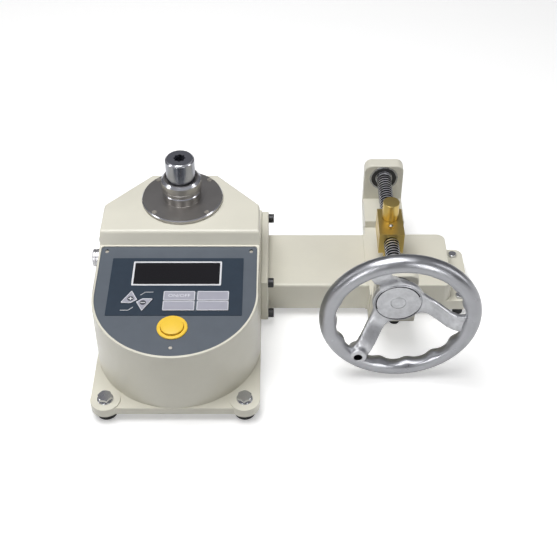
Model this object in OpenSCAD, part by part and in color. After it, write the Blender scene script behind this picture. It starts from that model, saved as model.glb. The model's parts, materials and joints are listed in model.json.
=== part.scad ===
// Bench torque tester for torque wrenches: a body with a measuring spindle, display and keys,
// and a side arm whose handwheel and lead screw push a post against the wrench.
// Places are measured from the spindle's axis on the table. on_table() moves the whole part
// so that its origin is the middle of its own outline, on the table.

/* [Body] */
// Width of the body at its top
body_w = 165; // [160:0.5:172]
// How far the foot of the body stands out past its top on each side
body_draft = 1.5; // [0.5:0.1:3]
// Distance from the spindle's axis to the front of the body
body_front = 209.6; // [205:0.1:214]
// Distance from the spindle's axis to the back wall
body_back = 42; // [38:0.5:46]
// Width of the back wall between its two slanted corners
back_w = 71.6; // [60:0.2:80]
// How far in front of the axis the slanted corners begin
corner_start = 10.8; // [6:0.2:16]
// Height of the deck that carries the spindle above the table
deck_z = 112.7; // [108:0.1:116]
// How far the deck reaches in front of the spindle's axis
deck_reach = 52.1; // [48:0.1:56]
// Horizontal length of the steep band below the deck's front edge
band_run = 6.7; // [4:0.1:10]
// Thickness of the casting's walls
wall = 5; // [4:0.1:6]
// Tilt of the front panel in degrees
panel_tilt = 3; // [1:0.5:5]
// Height of the panel's face above the table at the middle of the nose
panel_z = 94.3; // [90:0.1:98]
// Width of the casting's bright rim round the panel
rim_w = 2.1; // [1.5:0.1:3]
// How far that rim stands above the panel
rim_rise = 0.8; // [0.4:0.1:1.5]
// Width of the ledge that carries the panel
ledge_w = 9; // [7:0.5:11]

/* [Base] */
// Thickness of the base plate
base_t = 8.5; // [7:0.1:10]
// Height of the base plate's underside above the table
base_z = 10.5; // [9:0.1:13]
// How far the base plate's front reaches past the body's nose
base_lip = 1.7; // [1:0.1:3]
// Radius of the pads round the corner bolts
pad_r = 15; // [13:0.1:17]
// How far a pad stands above the plate
pad_rise = 1.6; // [0.8:0.1:3]
// Distance from the spindle's axis to the front bolts
bolt_front = 200.5; // [198:0.1:204]
// Distance from the spindle's axis to the back bolts
bolt_back = 30; // [27:0.1:34]
// Radius of the rubber feet under the base plate
foot_r = 11.5; // [9:0.1:14]
// Thread radius of the corner bolts
bolt_r = 4; // [3:0.1:5]
// Width across the flats of the corner bolts
bolt_flats = 13; // [11:0.1:16]
// Height of the corner bolts' heads
bolt_head_h = 5.3; // [4:0.1:7]

/* [Panel] */
// Thickness of the front panel
panel_t = 2; // [1.5:0.1:2.5]
// Thickness of the keypad film
film_t = 0.5; // [0.3:0.05:0.6]
// How far the film's sides lie inside the panel's edge
film_margin = 13.5; // [10.5:0.1:17]
// Where the film starts, in front of the spindle's axis
film_back = 77.6; // [75:0.1:80]
// Where the film ends, in front of the spindle's axis
film_front = 156.2; // [153:0.1:156.4]
// Outer width of the display's frame
frame_w = 90; // [80:0.5:96]
// Where the display's frame starts, in front of the spindle's axis
frame_back = 82.7; // [81:0.1:90]
// Where the display's frame ends, in front of the spindle's axis
frame_front = 116.3; // [110:0.1:118]
// Width of the frame's bar
frame_bar = 1.9; // [1:0.1:3]
// Width of one key
key_w = 31.2; // [26:0.1:33]
// Depth of one key
key_d = 12.4; // [10:0.1:13]
// Gap between two keys side by side
key_gap_x = 2.3; // [1:0.1:4]
// Gap between the two rows of keys
key_gap_y = 0.8; // [0.5:0.1:1.5]
// Middle of the four keys, to the right of the spindle's axis
key_mid_x = 21; // [18:0.5:24]
// Middle of the four keys, in front of the spindle's axis
key_mid_y = 137.3; // [136:0.1:138]
// Width of the pair of arrow keys
arrows_w = 31.5; // [26:0.1:34]
// Depth of the pair of arrow keys
arrows_d = 26.8; // [22:0.1:28]
// Middle of the pair of arrow keys, to the left of the spindle's axis
arrows_x = 37.3; // [35:0.1:40]
// Travel of a key
key_travel = 0.4; // [0.2:0.05:0.45]
// Radius of the start button's bezel
bezel_r = 15; // [13.5:0.1:16]
// Radius of the start button's cap
cap_r = 11.1; // [9:0.1:11.2]
// Where the start button stands, in front of the spindle's axis
button_y = 171.8; // [171.5:0.1:175]
// Travel of the start button
button_travel = 3; // [1:0.5:3.5]

/* [Spindle] */
// Radius of the spindle's flange
flange_r = 43; // [41:0.1:46]
// Thickness of the spindle's flange above the deck
flange_t = 4.2; // [3.5:0.1:6]
// Distance of the flange's screws from the middle lines
flange_screw = 27.6; // [26.5:0.1:28.5]
// Radius of the boss on the flange
boss_r = 20; // [18.5:0.1:22]
// Height of the boss's top above the table
boss_z = 126.4; // [124:0.1:127]
// Radius of the collar above the boss
collar_r = 21; // [20:0.1:24]
// Height of the collar's underside above the table
collar_low = 127.3; // [127.2:0.1:129]
// Height of the collar's top above the table
collar_top = 142.5; // [138:0.1:148]
// Radius of the measuring anvil
anvil_r = 15.25; // [14:0.05:16]
// Height of the anvil's top above the table
anvil_z = 166.7; // [162:0.1:175]
// Size across the flats of the square drive
drive = 9.55; // [9.53:0.01:12.7]
// Depth of the drive socket
drive_depth = 14; // [12:0.5:18]

/* [Arm] */
// Thickness of the arm's mounting flange
arm_flange_t = 7.5; // [6:0.1:10]
// Height of the arm flange's top above the table
arm_flange_z = 64.8; // [62:0.1:70]
// Height of the arm's underside above the table
arm_low = 9.5; // [8:0.1:10]
// Height of the arm's top above the table
arm_top = 45.5; // [43:0.1:47]
// Where the arm's front wall lies, in front of the spindle's axis
arm_front = 63.5; // [62:0.1:65]
// Where the arm's back wall lies, behind the spindle's axis
arm_back = 20.3; // [18:0.1:22]
// How far the arm's flange reaches past the arm to the front and back
arm_flange_past = 16.6; // [15:0.1:20]
// Where the end casting starts, to the right of the spindle's axis
end_x = 197; // [185:0.5:198]
// Length of the end casting along the arm
end_len = 92; // [88:0.5:100]
// How far the foot flange reaches past the end casting
end_flange = 22; // [18:0.5:26]
// Height of the foot flange's top above the table
end_flange_z = 21.8; // [19:0.1:24]
// Thickness of the arm's walls
arm_wall = 5; // [4:0.1:6]
// Radius of the small rubber feet under the arm's end
end_foot_r = 5.5; // [4.8:0.1:6.5]
// Radius of the screw heads on the arm's flange
arm_screw_head_r = 5; // [4.5:0.1:5.5]

/* [Loader] */
// Where the lead screw lies, to the right of the spindle's axis
screw_x = 222.4; // [220:0.1:226]
// Height of the lead screw above the table
screw_z = 83.2; // [83:0.1:86]
// Outer radius of the lead screw
screw_r = 8; // [7.8:0.1:8.6]
// Pitch of the lead screw's thread
pitch = 4; // [3:0.5:5]
// Width of the bearing brackets
bracket_w = 44; // [40:0.2:46]
// Height of the bearing brackets' tops above the table
bracket_z = 100.7; // [100.5:0.1:106]
// Thickness of a bracket's upright
ear_t = 14.5; // [12:0.1:16]
// Height of the brackets' ledges above the table
ledge_z = 53.9; // [50:0.1:54.5]
// Where the front upright's face lies, in front of the spindle's axis
front_ear = 108; // [106:0.1:112]
// Where the back upright's face lies, behind the spindle's axis
back_ear = 87.9; // [85:0.1:95]
// Outer radius of the ball bearings
bearing_r = 16; // [15:0.1:16.4]
// Width of the ball bearings
bearing_t = 9; // [7:0.1:10]
// Width of the nut block
nut_w = 26.5; // [24:0.1:30]
// Length of the nut block along the screw
nut_len = 43; // [40:0.1:46]
// Height of the nut block
nut_h = 25.6; // [24:0.1:27]
// How far the nut block's top lies above the screw's axis
nut_rise = 12.1; // [11.5:0.1:13]
// Where the nut block's back face lies, behind the spindle's axis
nut_back = 4.4; // [2:0.1:6]
// Radius of the reaction post
post_r = 8.8; // [8:0.1:10]
// Height of the post above the nut block
post_h = 20.5; // [15:0.5:30]
// Radius of the guide rod under the screw
rod_r = 4; // [3.5:0.1:4.2]
// How far the guide rod lies below the screw
rod_drop = 21.9; // [21.5:0.1:22.1]

/* [Handwheel] */
// Outer radius of the handwheel
wheel_r = 80; // [76:0.5:81]
// Radius of the handwheel's rim in section
rim_r = 9; // [8:0.1:10]
// Radius of the hub's round face
hub_face_r = 24.2; // [20:0.1:24.9]
// Radius of the hub's web between the spokes
web_r = 26; // [25:0.1:29]
// Length of the hub along the screw
hub_len = 19.3; // [17:0.1:22]
// How far the rim's middle stands in front of the hub's face
dish = 18.7; // [16:0.1:22]
// Width of a spoke
spoke_w = 19; // [15:0.1:22]
// Thickness of a spoke
spoke_t = 7; // [5:0.1:8]
// Angle of the first spoke in degrees, seen from the front
spoke_angle = 112; // [100:1:130]
// Distance of the handle's hole from the screw's axis
handle_at = 64; // [62:0.1:66]
// Radius of the handle's hole
handle_hole_r = 4.25; // [3.3:0.05:5]
// Radius of the boss round the handle's hole
handle_boss_r = 9.3; // [8:0.1:10]

/* [Hidden] */

// Clearances and small sizes that several pieces share
overrun = 1;
run_clear = 0.05;
seat_clear = 0.05;
part_clear = 0.3;
screw_clear = 0.25;
cut_sides = 64;
fine_sides = 128;
head_socket_share = 0.5;

// Body
base_top = base_z + base_t;
top_r = body_w / 2;
low_r = top_r + body_draft;
nose_offset = body_front - top_r;
nose_front = body_front;
draft_per_mm = body_draft / (deck_z - base_top);
deck_foot = deck_reach + band_run;
panel_back = deck_foot + rim_w;
panel_r = top_r - rim_w;
corner_turn = atan2(body_back + corner_start, back_w / 2 - low_r);
deck_hole_r = 33;
arm_seat_past = 2.5;
arm_seat_in = 12;
arm_ear_z = 32;

// Base plate and its fixings
base_front = nose_front + base_lip;
base_back = bolt_back + pad_r;
bolt_x = low_r - pad_r;
foot_taper = 1.2;
bolt_in_foot = base_z * 0.7;
base_bolt_len = base_t + pad_rise + bolt_in_foot;
washer_r = bolt_flats * 0.62;
washer_t = 1.4;
cover_screw_r = 2.5;
cover_screw_head_r = 4.3;
cover_screw_head_h = 3;
cover_boss_r = 6;
cover_boss_h = 14;
cover_boss_x = low_r - wall - cover_boss_r * 0.7;
cover_screw_len = base_t - cover_screw_head_h + cover_boss_h * 0.7;
cover_y_shares = [0.06, 0.42, 0.8];
nose_boss_angle = 52;

// Front panel and what it carries
panel_clear = 0.2;
panel_corner = 3;
panel_screw_r = 1.75;
panel_screw_head_r = 3.75;
panel_screw_head_h = 1.6;
panel_screw_len = 6;
panel_screw_side = 6;
panel_screw_top = 5.2;
panel_screw_low = 10.6;
panel_screw_x = panel_r - panel_screw_side;
panel_screw_back = panel_back + panel_screw_top;
panel_screw_front = nose_offset + panel_r - panel_screw_low;
film_corner = 1;
film_w = 2 * (panel_r - film_margin);
window_w = frame_w - 2 * frame_bar;
frame_corner = 1.4;
frame_rise = 0.9;
glass_t = 1.2;
glass_rise = 0.4;
key_float = 0.5;
key_t = 0.9;
key_corner = 1.2;
key_clear = 0.35;
stem_r = 2;
stem_clear = 0.35;
key_column = (key_w + key_gap_x) / 2;
key_row = (key_d + key_gap_y) / 2;
up_shares = [[-0.19, 0.5], [-0.5, -0.1], [-0.18, -0.111], [0.011, 0.057]];
arrow_stem_shares = [-0.2, 0.06];
arrow_hole_share = 1.07;
board_clear = 2;
board_back = 84;
board_front = 154;
board_w = 2 * sqrt(pow(panel_r - ledge_w - board_clear, 2) - pow(board_front - nose_offset, 2));
board_t = 1.6;
board_drop = 12;
tact_r = 3;
tact_gap = key_travel + run_clear;
stem_len = 6;
tact_h = board_drop - panel_t - stem_len - tact_gap + panel_t;
standoff_r = 3;
standoff_inset = 4;
module_drop = panel_t + part_clear;
bezel_rise = 1.6;
bezel_thread_r = 12.6;
bezel_thread_len = 9;
bezel_edge = 0.8;
cap_rise = 4.8;
cap_crown = 1.1;
cap_clear = 0.3;
cap_skirt = 4;
plunger_r = 4;
button_nut_r = 16.8;
button_nut_t = 3.5;
switch_w = 20;
switch_h = 16;
plunger_len = bezel_thread_len - cap_skirt;
battery_w = 62;
battery_d = 44;
battery_h = 19;
battery_gap = 7.8;
battery_x = battery_w / 2 - cover_boss_x + cover_boss_r + battery_gap;
battery_y = 136;

// Spindle
spigot_len = 11;
bevel = 1.8;
collar_bevel = 2.5;
collar_bore_r = 16.75;
neck_r = anvil_r - bevel / 3;
post_neck_r = post_r - bevel / 3;
boss_groove = 1.5;
flange_screw_r = 1.5;
flange_screw_head_r = 2.75;
flange_screw_head_h = 3;
flange_screw_len = 9;
bearing_wall = 6;
spindle_bearing_t = 12;
spindle_bearing_r = deck_hole_r - bearing_wall;
spindle_low = deck_z - spigot_len;
shaft_r = 10;
gauge_r = 7.5;
anvil_foot_z = 84;
anchor_r = 20;
anchor_flange_r = 36;
anchor_flange_t = 9;
anchor_z = 42;
anchor_screw_circle = 29;
anchor_screw_r = 2.5;
anchor_screw_head_r = 4.25;
anchor_screw_head_h = 5;
anchor_screw_count = 6;
anchor_screw_floor = 2;
anchor_screw_in = base_t - anchor_screw_floor;

// Fittings on the left wall
socket_y = 52;
socket_z = 75;
socket_r = 9.2;
socket_out = 9;
socket_hole_r = 7.5;
socket_nut_r = 10.5;
socket_nut_t = 2.5;
socket_bore_r = 6.4;
socket_bore_depth = 6;
pin_r = 0.8;
pin_recess = 2.3;
pin_circle = 3.6;
pin_count = 5;
inlet_y = 33.6;
inlet_z = 85;
inlet_r = 4.2;
inlet_out = 4.5;
inlet_hole_r = 2.75;
inlet_depth = 3.6;
side_screw_y = 99.6;
side_screw_z = 84.5;
side_screw_r = 3.2;
side_screw_out = 2.2;
side_shank_r = 1.5;

// Arm
arm_x = low_r;
arm_start = arm_x + arm_flange_t;
arm_mid = (arm_back - arm_front) / 2;
arm_d = arm_front + arm_back;
arm_flange_d = arm_d + 2 * arm_flange_past;
arm_seat_front = arm_flange_d / 2 - arm_mid + arm_seat_past;
arm_seat_top = arm_flange_z + arm_seat_past;
arm_screw_r = 3;
arm_screw_head_h = 6;
arm_screw_in = 8;
arm_screw_side = 5.9;
arm_screw_y = arm_flange_d / 2 - arm_screw_side;
arm_screw_low = base_z + base_t / 2;
arm_screw_drop = 5.4;
arm_screw_high = arm_flange_z - arm_screw_drop;
arm_edge_r = 3;
end_corner_r = 9;
end_flange_corner = 9;
end_spigot = 12;
end_wall = 6;
front_pad = 14;
rear_pad = 12.1;
pad_past = 1;
pad_w = bracket_w + 2 * pad_past;
pad_corner = 5;
end_bolt_shift = 0.5;
end_bolt_front_in = 7.3;
end_bolt_back_in = 10.2;
end_bolt_x = end_x + end_len + end_flange / 2 - end_bolt_shift;
end_bolt_front = arm_front - end_bolt_front_in;
end_bolt_back = arm_back - end_bolt_back_in;
end_bolt_r = 2.5;
end_bolt_flats = 8;
end_bolt_head_h = 3.5;
end_bolt_in = arm_low * 0.6;
end_foot_recess = 4;
front_foot_x = 228.6;
pad_foot_in = 6;
front_foot_y = arm_front + front_pad - pad_foot_in;
rear_foot_y = arm_back + rear_pad - pad_foot_in;

// Brackets, bearings and lead screw
ear_corner = 8.5;
bracket_low = 14;
ear_low = 35;
front_bar_y = arm_front + front_pad;
rear_bar_y = arm_back + rear_pad;
bracket_screw_r = 3;
bracket_screw_head_r = 5;
bracket_screw_head_h = 6;
bracket_screw_in = 12;
bracket_screw_dx = 13;
bracket_screw_z = 31;
journal_r = 7.5;
tail_r = 6;
tail_hole_r = 8.6;
crest_share = 0.366;
flank_share = 0.134;
thread_depth_share = 0.5;
thrust_collar_r = 11;
thrust_collar_t = 1.7;
race_step = 0.4;
hub_back = front_ear + thrust_collar_t + part_clear;
hub_front = hub_back + hub_len;
key_size = 4;
key_len = 12;
wheel_screw_head_r = 7.5;
wheel_screw_head_h = 3.5;
wheel_screw_r = 3;
wheel_screw_len = 12;
tail_end = hub_front - wheel_screw_head_h - part_clear;
end_nut_flats = 18;
end_nut_t = 6;
end_nut_gap = 0.4;
tail_past = 1.5;
screw_end = back_ear + end_nut_gap + end_nut_t + tail_past;
nut_front = nut_len - nut_back;
lug_w = 13;
lug_len = 30;
lug_wall = 1.8;
post_in_from_back = 4.6;
post_y = nut_back - post_r - post_in_from_back;
post_in = 2.2;
oiler_y = 27.6;
oiler_r = 2.2;
oiler_hole_r = 1.2;
oiler_t = 2;
oiler_rise = 0.3;
lock_head_r = 8.5;
lock_head_t = 2.6;
lock_y = 25;
lock_drop = 5.2;
lock_r = 2.5;
lock_len = 4;
rod_in = 8;

// Handwheel
rim_mid_r = wheel_r - rim_r;
rim_plane = hub_len + dish;
web_t = 8;
hub_back_r = 17;
face_rise = 1;
spoke_root_in = 3;
spoke_root_r = web_r - spoke_root_in;
spoke_steps = 12;
handle_boss_back = 8;

// Outline of the whole part, for its origin
left_reach = low_r + socket_out;
right_reach = end_x + end_len + end_flange;
front_reach = bolt_front + pad_r;
back_reach = screw_end;
origin_x = (right_reach - left_reach) / 2;
origin_y = (back_reach - front_reach) / 2;

// Colours
enamel = [0.88, 0.87, 0.81];
slate = [0.38, 0.41, 0.45];
navy = [0.22, 0.27, 0.32];
key_grey = [0.66, 0.66, 0.71];
ink = [0.12, 0.12, 0.13];
pale = [0.88, 0.89, 0.92];
yellow = [1.0, 0.83, 0.26];
steel = [0.72, 0.73, 0.74];
dark_steel = [0.35, 0.35, 0.36];
bright = [0.82, 0.83, 0.85];
brass = [0.80, 0.62, 0.25];
rubber = [0.1, 0.1, 0.1];
board_green = [0.1, 0.35, 0.2];

// Moves a piece from the spindle's axis to the part's own frame
module on_table() {
    translate([-origin_x, -origin_y, 0]) children();
}

// Puts a piece on the front panel: x across, y up the slope from the nose's middle, z off its face
module on_panel() {
    on_table() translate([0, -nose_offset, panel_z]) rotate([panel_tilt, 0, 0]) children();
}

// Puts a piece on the lead screw's axis, with z towards the front from a plane behind the spindle
module on_screw(behind) {
    on_table() translate([screw_x, behind, screw_z]) rotate([90, 0, 0]) children();
}

// Turns a piece that stands along Z so that it lies along X, to the right
module along_x() {
    rotate([0, 90, 0]) children();
}

// Coordinate on the panel's slope of a place that lies so far in front of the spindle's axis
function up_slope(front) = (nose_offset - front) / cos(panel_tilt);

// Rectangle with round corners, about its own middle
module round_rect(w, d, r) {
    square([w - 2 * r, d], center = true);
    square([w, d - 2 * r], center = true);
    for (sx = [-1, 1], sy = [-1, 1])
        translate([sx * (w / 2 - r), sy * (d / 2 - r)]) circle(r = r, $fn = cut_sides);
}

module round_slab(w, d, h, r) {
    linear_extrude(height = h) round_rect(w, d, r);
}

module rod(r, h) {
    cylinder(h = h, r = r, $fn = cut_sides);
}

// Hole or bore that starts one overrun below z = 0 and passes h above it
module bore(r, h) {
    translate([0, 0, -overrun]) cylinder(h = h + 2 * overrun, r = r, $fn = cut_sides);
}

// Screw with a round socket head that stands on z = 0 and a shank below it
module cap_screw(head_r, head_h, shank_r, shank_len) {
    difference() {
        union() {
            rod(head_r, head_h);
            translate([0, 0, -shank_len]) rod(shank_r, shank_len + head_h / 2);
        }
        translate([0, 0, head_h * head_socket_share])
            cylinder(h = head_h, r = head_r * head_socket_share, $fn = 6);
    }
}

// Screw with a cross recess in a low head
module cross_screw(head_r, head_h, shank_r, shank_len) {
    slot = head_r / 3;
    reach = head_r * 0.6;
    difference() {
        union() {
            cylinder(h = head_h, r1 = head_r, r2 = head_r * 0.82, $fn = cut_sides);
            translate([0, 0, -shank_len]) rod(shank_r, shank_len + head_h / 4);
        }
        for (turn = [0, 90])
            rotate([0, 0, turn]) translate([-reach, -slot / 2, head_h / 2]) cube([2 * reach, slot, head_h]);
    }
}

// Hexagon bolt with its head on z = 0 and its shank below
module hex_bolt(flats, head_h, shank_r, shank_len) {
    cylinder(h = head_h, r = flats / sqrt(3), $fn = 6);
    translate([0, 0, -shank_len]) rod(shank_r, shank_len + head_h / 2);
}

// Ball bearing as one ring, with a step between its races and its seals
module ball_bearing(outer_r, bore_r, width) {
    race = (outer_r - bore_r) * 0.22;
    rotate_extrude($fn = fine_sides) polygon([[bore_r, 0], [bore_r + race, 0], [bore_r + race, race_step],
        [outer_r - race, race_step], [outer_r - race, 0], [outer_r, 0], [outer_r, width],
        [outer_r - race, width], [outer_r - race, width - race_step],
        [bore_r + race, width - race_step], [bore_r + race, width], [bore_r, width]]);
}

// Plan of the body behind the middle of its nose, drawn in by inset
module body_plan(inset) {
    difference() {
        translate([-2 * low_r, -nose_offset])
            square([4 * low_r, nose_offset + body_back - inset]);
        for (side = [0, 1]) mirror([side, 0]) translate([low_r, -corner_start])
            rotate([0, 0, corner_turn]) translate([-low_r, inset - low_r]) square([3 * low_r, low_r]);
    }
}

// Body from height z_from to z_to, with the draft of its walls, drawn in by inset
module body_block(inset, z_from, z_to) {
    height = z_to - z_from;
    r_from = low_r - inset - draft_per_mm * (z_from - base_top);
    r_to = r_from - draft_per_mm * height;
    translate([0, -nose_offset, z_from]) cylinder(h = height, r1 = r_from, r2 = r_to, $fn = fine_sides);
    intersection() {
        translate([0, body_back, z_from]) rotate([90, 0, 0])
            linear_extrude(height = body_back + nose_offset)
                polygon([[-r_from, 0], [r_from, 0], [r_to, height], [-r_to, height]]);
        translate([0, 0, z_from]) linear_extrude(height = height) body_plan(inset);
    }
}

// Space above the sloping front of the body, raised off the panel's face by rise and moved
// forward by shift
module front_space(rise, shift) {
    slope = tan(panel_tilt);
    reach = base_front + shift;
    foot_height = panel_z + (nose_offset - deck_foot - shift) * slope + rise;
    nose_height = panel_z + (nose_offset - reach - overrun) * slope + rise;
    translate([2 * low_r, 0, 0]) rotate([90, 0, -90]) linear_extrude(height = 4 * low_r) polygon([
        [deck_reach + shift, deck_z], [deck_foot + shift, foot_height],
        [reach + overrun, nose_height], [reach + overrun, deck_z + overrun],
        [deck_reach + shift, deck_z + overrun]]);
}

// Outline of the front panel on its own plane, drawn in by inset
module panel_outline(inset) {
    top = up_slope(panel_back) - inset;
    half = panel_r - inset;
    intersection() {
        circle(r = half, $fn = fine_sides);
        translate([-half, -half]) square([2 * half, half + overrun]);
    }
    translate([0, (top - panel_corner) / 2]) round_rect(2 * half, top + panel_corner, panel_corner);
}

module corner_places() {
    for (side = [-1, 1], y = [-bolt_front, bolt_back]) translate([side * bolt_x, y, 0]) children();
}

// Places of the screws that hold the base plate to the casting
module cover_places() {
    for (side = [-1, 1]) {
        for (share = cover_y_shares) translate([side * cover_boss_x, -nose_offset * share - arm_seat_in, 0])
            children();
        translate([0, -nose_offset, 0]) rotate([0, 0, side * nose_boss_angle])
            translate([0, -cover_boss_x, 0]) children();
    }
}

module anchor_places() {
    for (i = [0:anchor_screw_count - 1]) rotate([0, 0, 360 / anchor_screw_count * i])
        translate([anchor_screw_circle, 0, 0]) children();
}

module base_plate() color(enamel) on_table() difference() {
    union() {
        translate([0, 0, base_z]) linear_extrude(height = base_t) {
            translate([-low_r, -bolt_front]) square([2 * low_r, bolt_front + bolt_back]);
            translate([-bolt_x, -base_front]) square([2 * bolt_x, base_front + base_back]);
            corner_places() circle(r = pad_r, $fn = cut_sides);
        }
        for (side = [-1, 1], y = [-bolt_front, bolt_back]) translate([side * bolt_x, y, base_z])
            rod(pad_r, base_t + pad_rise);
    }
    translate([0, 0, base_z]) {
        corner_places() bore(bolt_r + screw_clear, base_t + pad_rise);
        cover_places() {
            bore(cover_screw_r + screw_clear, base_t);
            bore(cover_screw_head_r + screw_clear, cover_screw_head_h - overrun);
        }
        anchor_places() bore(anchor_screw_r + seat_clear, base_t);
    }
    for (side = [-1, 1])
        translate([arm_x - arm_screw_in - overrun, arm_mid + side * arm_screw_y, arm_screw_low]) along_x()
            bore(arm_screw_r + seat_clear, arm_screw_in + overrun);
    // Room for the pads where they would cut into the casting's foot
    translate([0, 0, base_top]) linear_extrude(height = pad_rise + overrun) {
        translate([0, -nose_offset]) circle(r = low_r + seat_clear, $fn = fine_sides);
        body_plan(-seat_clear);
    }
}

module base_feet() color(rubber) on_table() corner_places() difference() {
    cylinder(h = base_z, r1 = foot_r - foot_taper, r2 = foot_r, $fn = cut_sides);
    translate([0, 0, base_z - bolt_in_foot - overrun])
        rod(bolt_r + seat_clear, bolt_in_foot + 2 * overrun);
}

module base_bolts() color(bright) on_table() corner_places()
    translate([0, 0, base_top + pad_rise]) {
        rod(washer_r, washer_t);
        translate([0, 0, washer_t]) hex_bolt(bolt_flats, bolt_head_h - washer_t, bolt_r,
            base_bolt_len + washer_t);
    }

module body_casting() color(enamel) on_table() difference() {
    union() {
        difference() {
            body_block(0, base_top, deck_z);
            front_space(rim_rise, 0);
        }
        // Flat seat for the arm's flange, and an ear that carries it past the slanted corner
        translate([arm_x - arm_seat_in, -arm_seat_front, base_top])
            cube([arm_seat_in, arm_seat_front - corner_start - overrun, arm_seat_top - base_top]);
        translate([arm_x - arm_seat_in, -corner_start - arm_seat_in, arm_ear_z])
            cube([arm_seat_in, corner_start + arm_seat_in + arm_mid + arm_flange_d / 2,
                arm_seat_top - arm_ear_z]);
    }
    difference() {
        difference() {
            body_block(wall, base_top - overrun, deck_z - wall);
            front_space(-panel_t - wall, -wall);
        }
        // Bosses for the base plate's screws
        cover_places() translate([0, 0, base_top - overrun]) rod(cover_boss_r, cover_boss_h + overrun);
        // Thicker wall behind the arm's seat
        translate([arm_x - arm_seat_in, -arm_seat_front, base_top - overrun])
            cube([2 * arm_seat_in, arm_seat_front, arm_seat_top - base_top + overrun]);
    }
    cover_places() translate([0, 0, base_top])
        bore(cover_screw_r + seat_clear, cover_boss_h * 0.7);
    for (side = [-1, 1])
        translate([arm_x - arm_screw_in - overrun, arm_mid + side * arm_screw_y, arm_screw_high]) along_x()
            bore(arm_screw_r + seat_clear, arm_screw_in + overrun);
    // Opening and ledge for the front panel
    translate([0, -nose_offset, panel_z]) rotate([panel_tilt, 0, 0]) {
        translate([0, 0, -panel_t]) linear_extrude(height = panel_t + rim_rise + 2 * overrun)
            panel_outline(-panel_clear);
        translate([0, 0, -panel_t - 3 * wall]) linear_extrude(height = 3 * wall + panel_t)
            panel_outline(ledge_w);
        panel_screw_places() translate([0, 0, -panel_t - panel_screw_len])
            rod(panel_screw_r + seat_clear, panel_screw_len + panel_t);
    }
    // Spindle's hole and its flange's screws
    translate([0, 0, deck_z - 2 * wall]) bore(deck_hole_r + seat_clear, 2 * wall);
    flange_screw_places() translate([0, 0, deck_z - flange_screw_len])
        rod(flange_screw_r + seat_clear, flange_screw_len + overrun);
    // Holes of the fittings on the left wall
    translate([-low_r, -socket_y, socket_z]) along_x() bore(socket_hole_r + seat_clear, 2 * wall);
    translate([-low_r, -inlet_y, inlet_z]) along_x() bore(inlet_r - overrun + seat_clear, 2 * wall);
    translate([-low_r, -side_screw_y, side_screw_z]) along_x() bore(side_shank_r + seat_clear, 2 * wall);
}

module casting_screws() color(dark_steel) on_table() cover_places()
    translate([0, 0, base_z + cover_screw_head_h]) mirror([0, 0, 1])
        cap_screw(cover_screw_head_r, cover_screw_head_h, cover_screw_r, cover_screw_len);

// Places of the front panel's three screws, on its own plane
module panel_screw_places() {
    for (side = [-1, 1]) translate([side * panel_screw_x, up_slope(panel_screw_back), 0]) children();
    translate([0, up_slope(panel_screw_front), 0]) children();
}

// Places of the four keys and the two arrow keys' stems, on the panel's plane
function key_place(column, row) = [key_mid_x + column * key_column, up_slope(key_mid_y) + row * key_row];
arrow_mid = [-arrows_x, up_slope(key_mid_y)];
arrow_stem = [arrows_w * arrow_stem_shares[0], arrows_d * arrow_stem_shares[1]];
stem_places = [key_place(-1, 1), key_place(1, 1), key_place(-1, -1), key_place(1, -1),
    arrow_mid + arrow_stem, arrow_mid - arrow_stem];
display_mid = up_slope((frame_back + frame_front) / 2);
frame_d = up_slope(frame_back) - up_slope(frame_front);
window_d = frame_d - 2 * frame_bar;
board_mid = up_slope((board_back + board_front) / 2);
board_d = board_front - board_back;

module standoff_places() {
    for (sx = [-1, 1], sy = [-1, 1])
        translate([sx * (board_w / 2 - standoff_inset), board_mid + sy * (board_d / 2 - standoff_inset), 0])
            children();
}

module front_panel() color(slate) on_panel() translate([0, 0, -panel_t]) difference() {
    linear_extrude(height = panel_t) panel_outline(0);
    panel_screw_places() bore(panel_screw_r + screw_clear, panel_t);
    translate([0, up_slope(button_y), 0]) bore(bezel_thread_r + seat_clear, panel_t);
    for (place = stem_places) translate([place[0], place[1], 0]) bore(stem_r + stem_clear, panel_t);
    translate([0, display_mid, -overrun])
        round_slab(window_w + 2 * seat_clear, window_d + 2 * seat_clear, panel_t + 2 * overrun, frame_corner / 2);
}

module panel_screws() color(bright) on_panel() panel_screw_places()
    cross_screw(panel_screw_head_r, panel_screw_head_h, panel_screw_r, panel_screw_len);

// Outline of one arrow key, about the middle of the pair
module arrow_outline() {
    polygon([for (share = up_shares) [share[0] * arrows_w, share[1] * arrows_d]]);
}

module keypad_film() color(navy) on_panel() linear_extrude(height = film_t) difference() {
    translate([0, (up_slope(film_back) + up_slope(film_front)) / 2])
        round_rect(film_w, up_slope(film_back) - up_slope(film_front), film_corner);
    translate([0, display_mid]) round_rect(frame_w + 2 * seat_clear, frame_d + 2 * seat_clear, frame_corner);
    translate([key_mid_x, up_slope(key_mid_y)])
        round_rect(2 * key_w + key_gap_x + 2 * key_clear, 2 * key_d + key_gap_y + 2 * key_clear, key_corner);
    translate(arrow_mid) for (turn = [0, 180]) rotate([0, 0, turn])
        translate((1 - arrow_hole_share) * arrow_stem) scale(arrow_hole_share) arrow_outline();
}

module display_frame() color(pale) on_panel() translate([0, display_mid, 0]) difference() {
    round_slab(frame_w, frame_d, frame_rise, frame_corner);
    translate([0, 0, -overrun])
        round_slab(window_w + 2 * seat_clear, window_d + 2 * seat_clear, frame_rise + 2 * overrun, frame_corner / 2);
}

module display_window() color(ink) on_panel() translate([0, display_mid, glass_rise - glass_t])
    round_slab(window_w, window_d, glass_t, frame_corner / 2);

// One key: its cap floats over the panel and its stem passes through it
module key_at(place) {
    translate([place[0], place[1], key_float]) {
        round_slab(key_w, key_d, key_t, key_corner);
        translate([0, 0, -stem_len]) rod(stem_r, stem_len + key_t / 2);
    }
}

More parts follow.
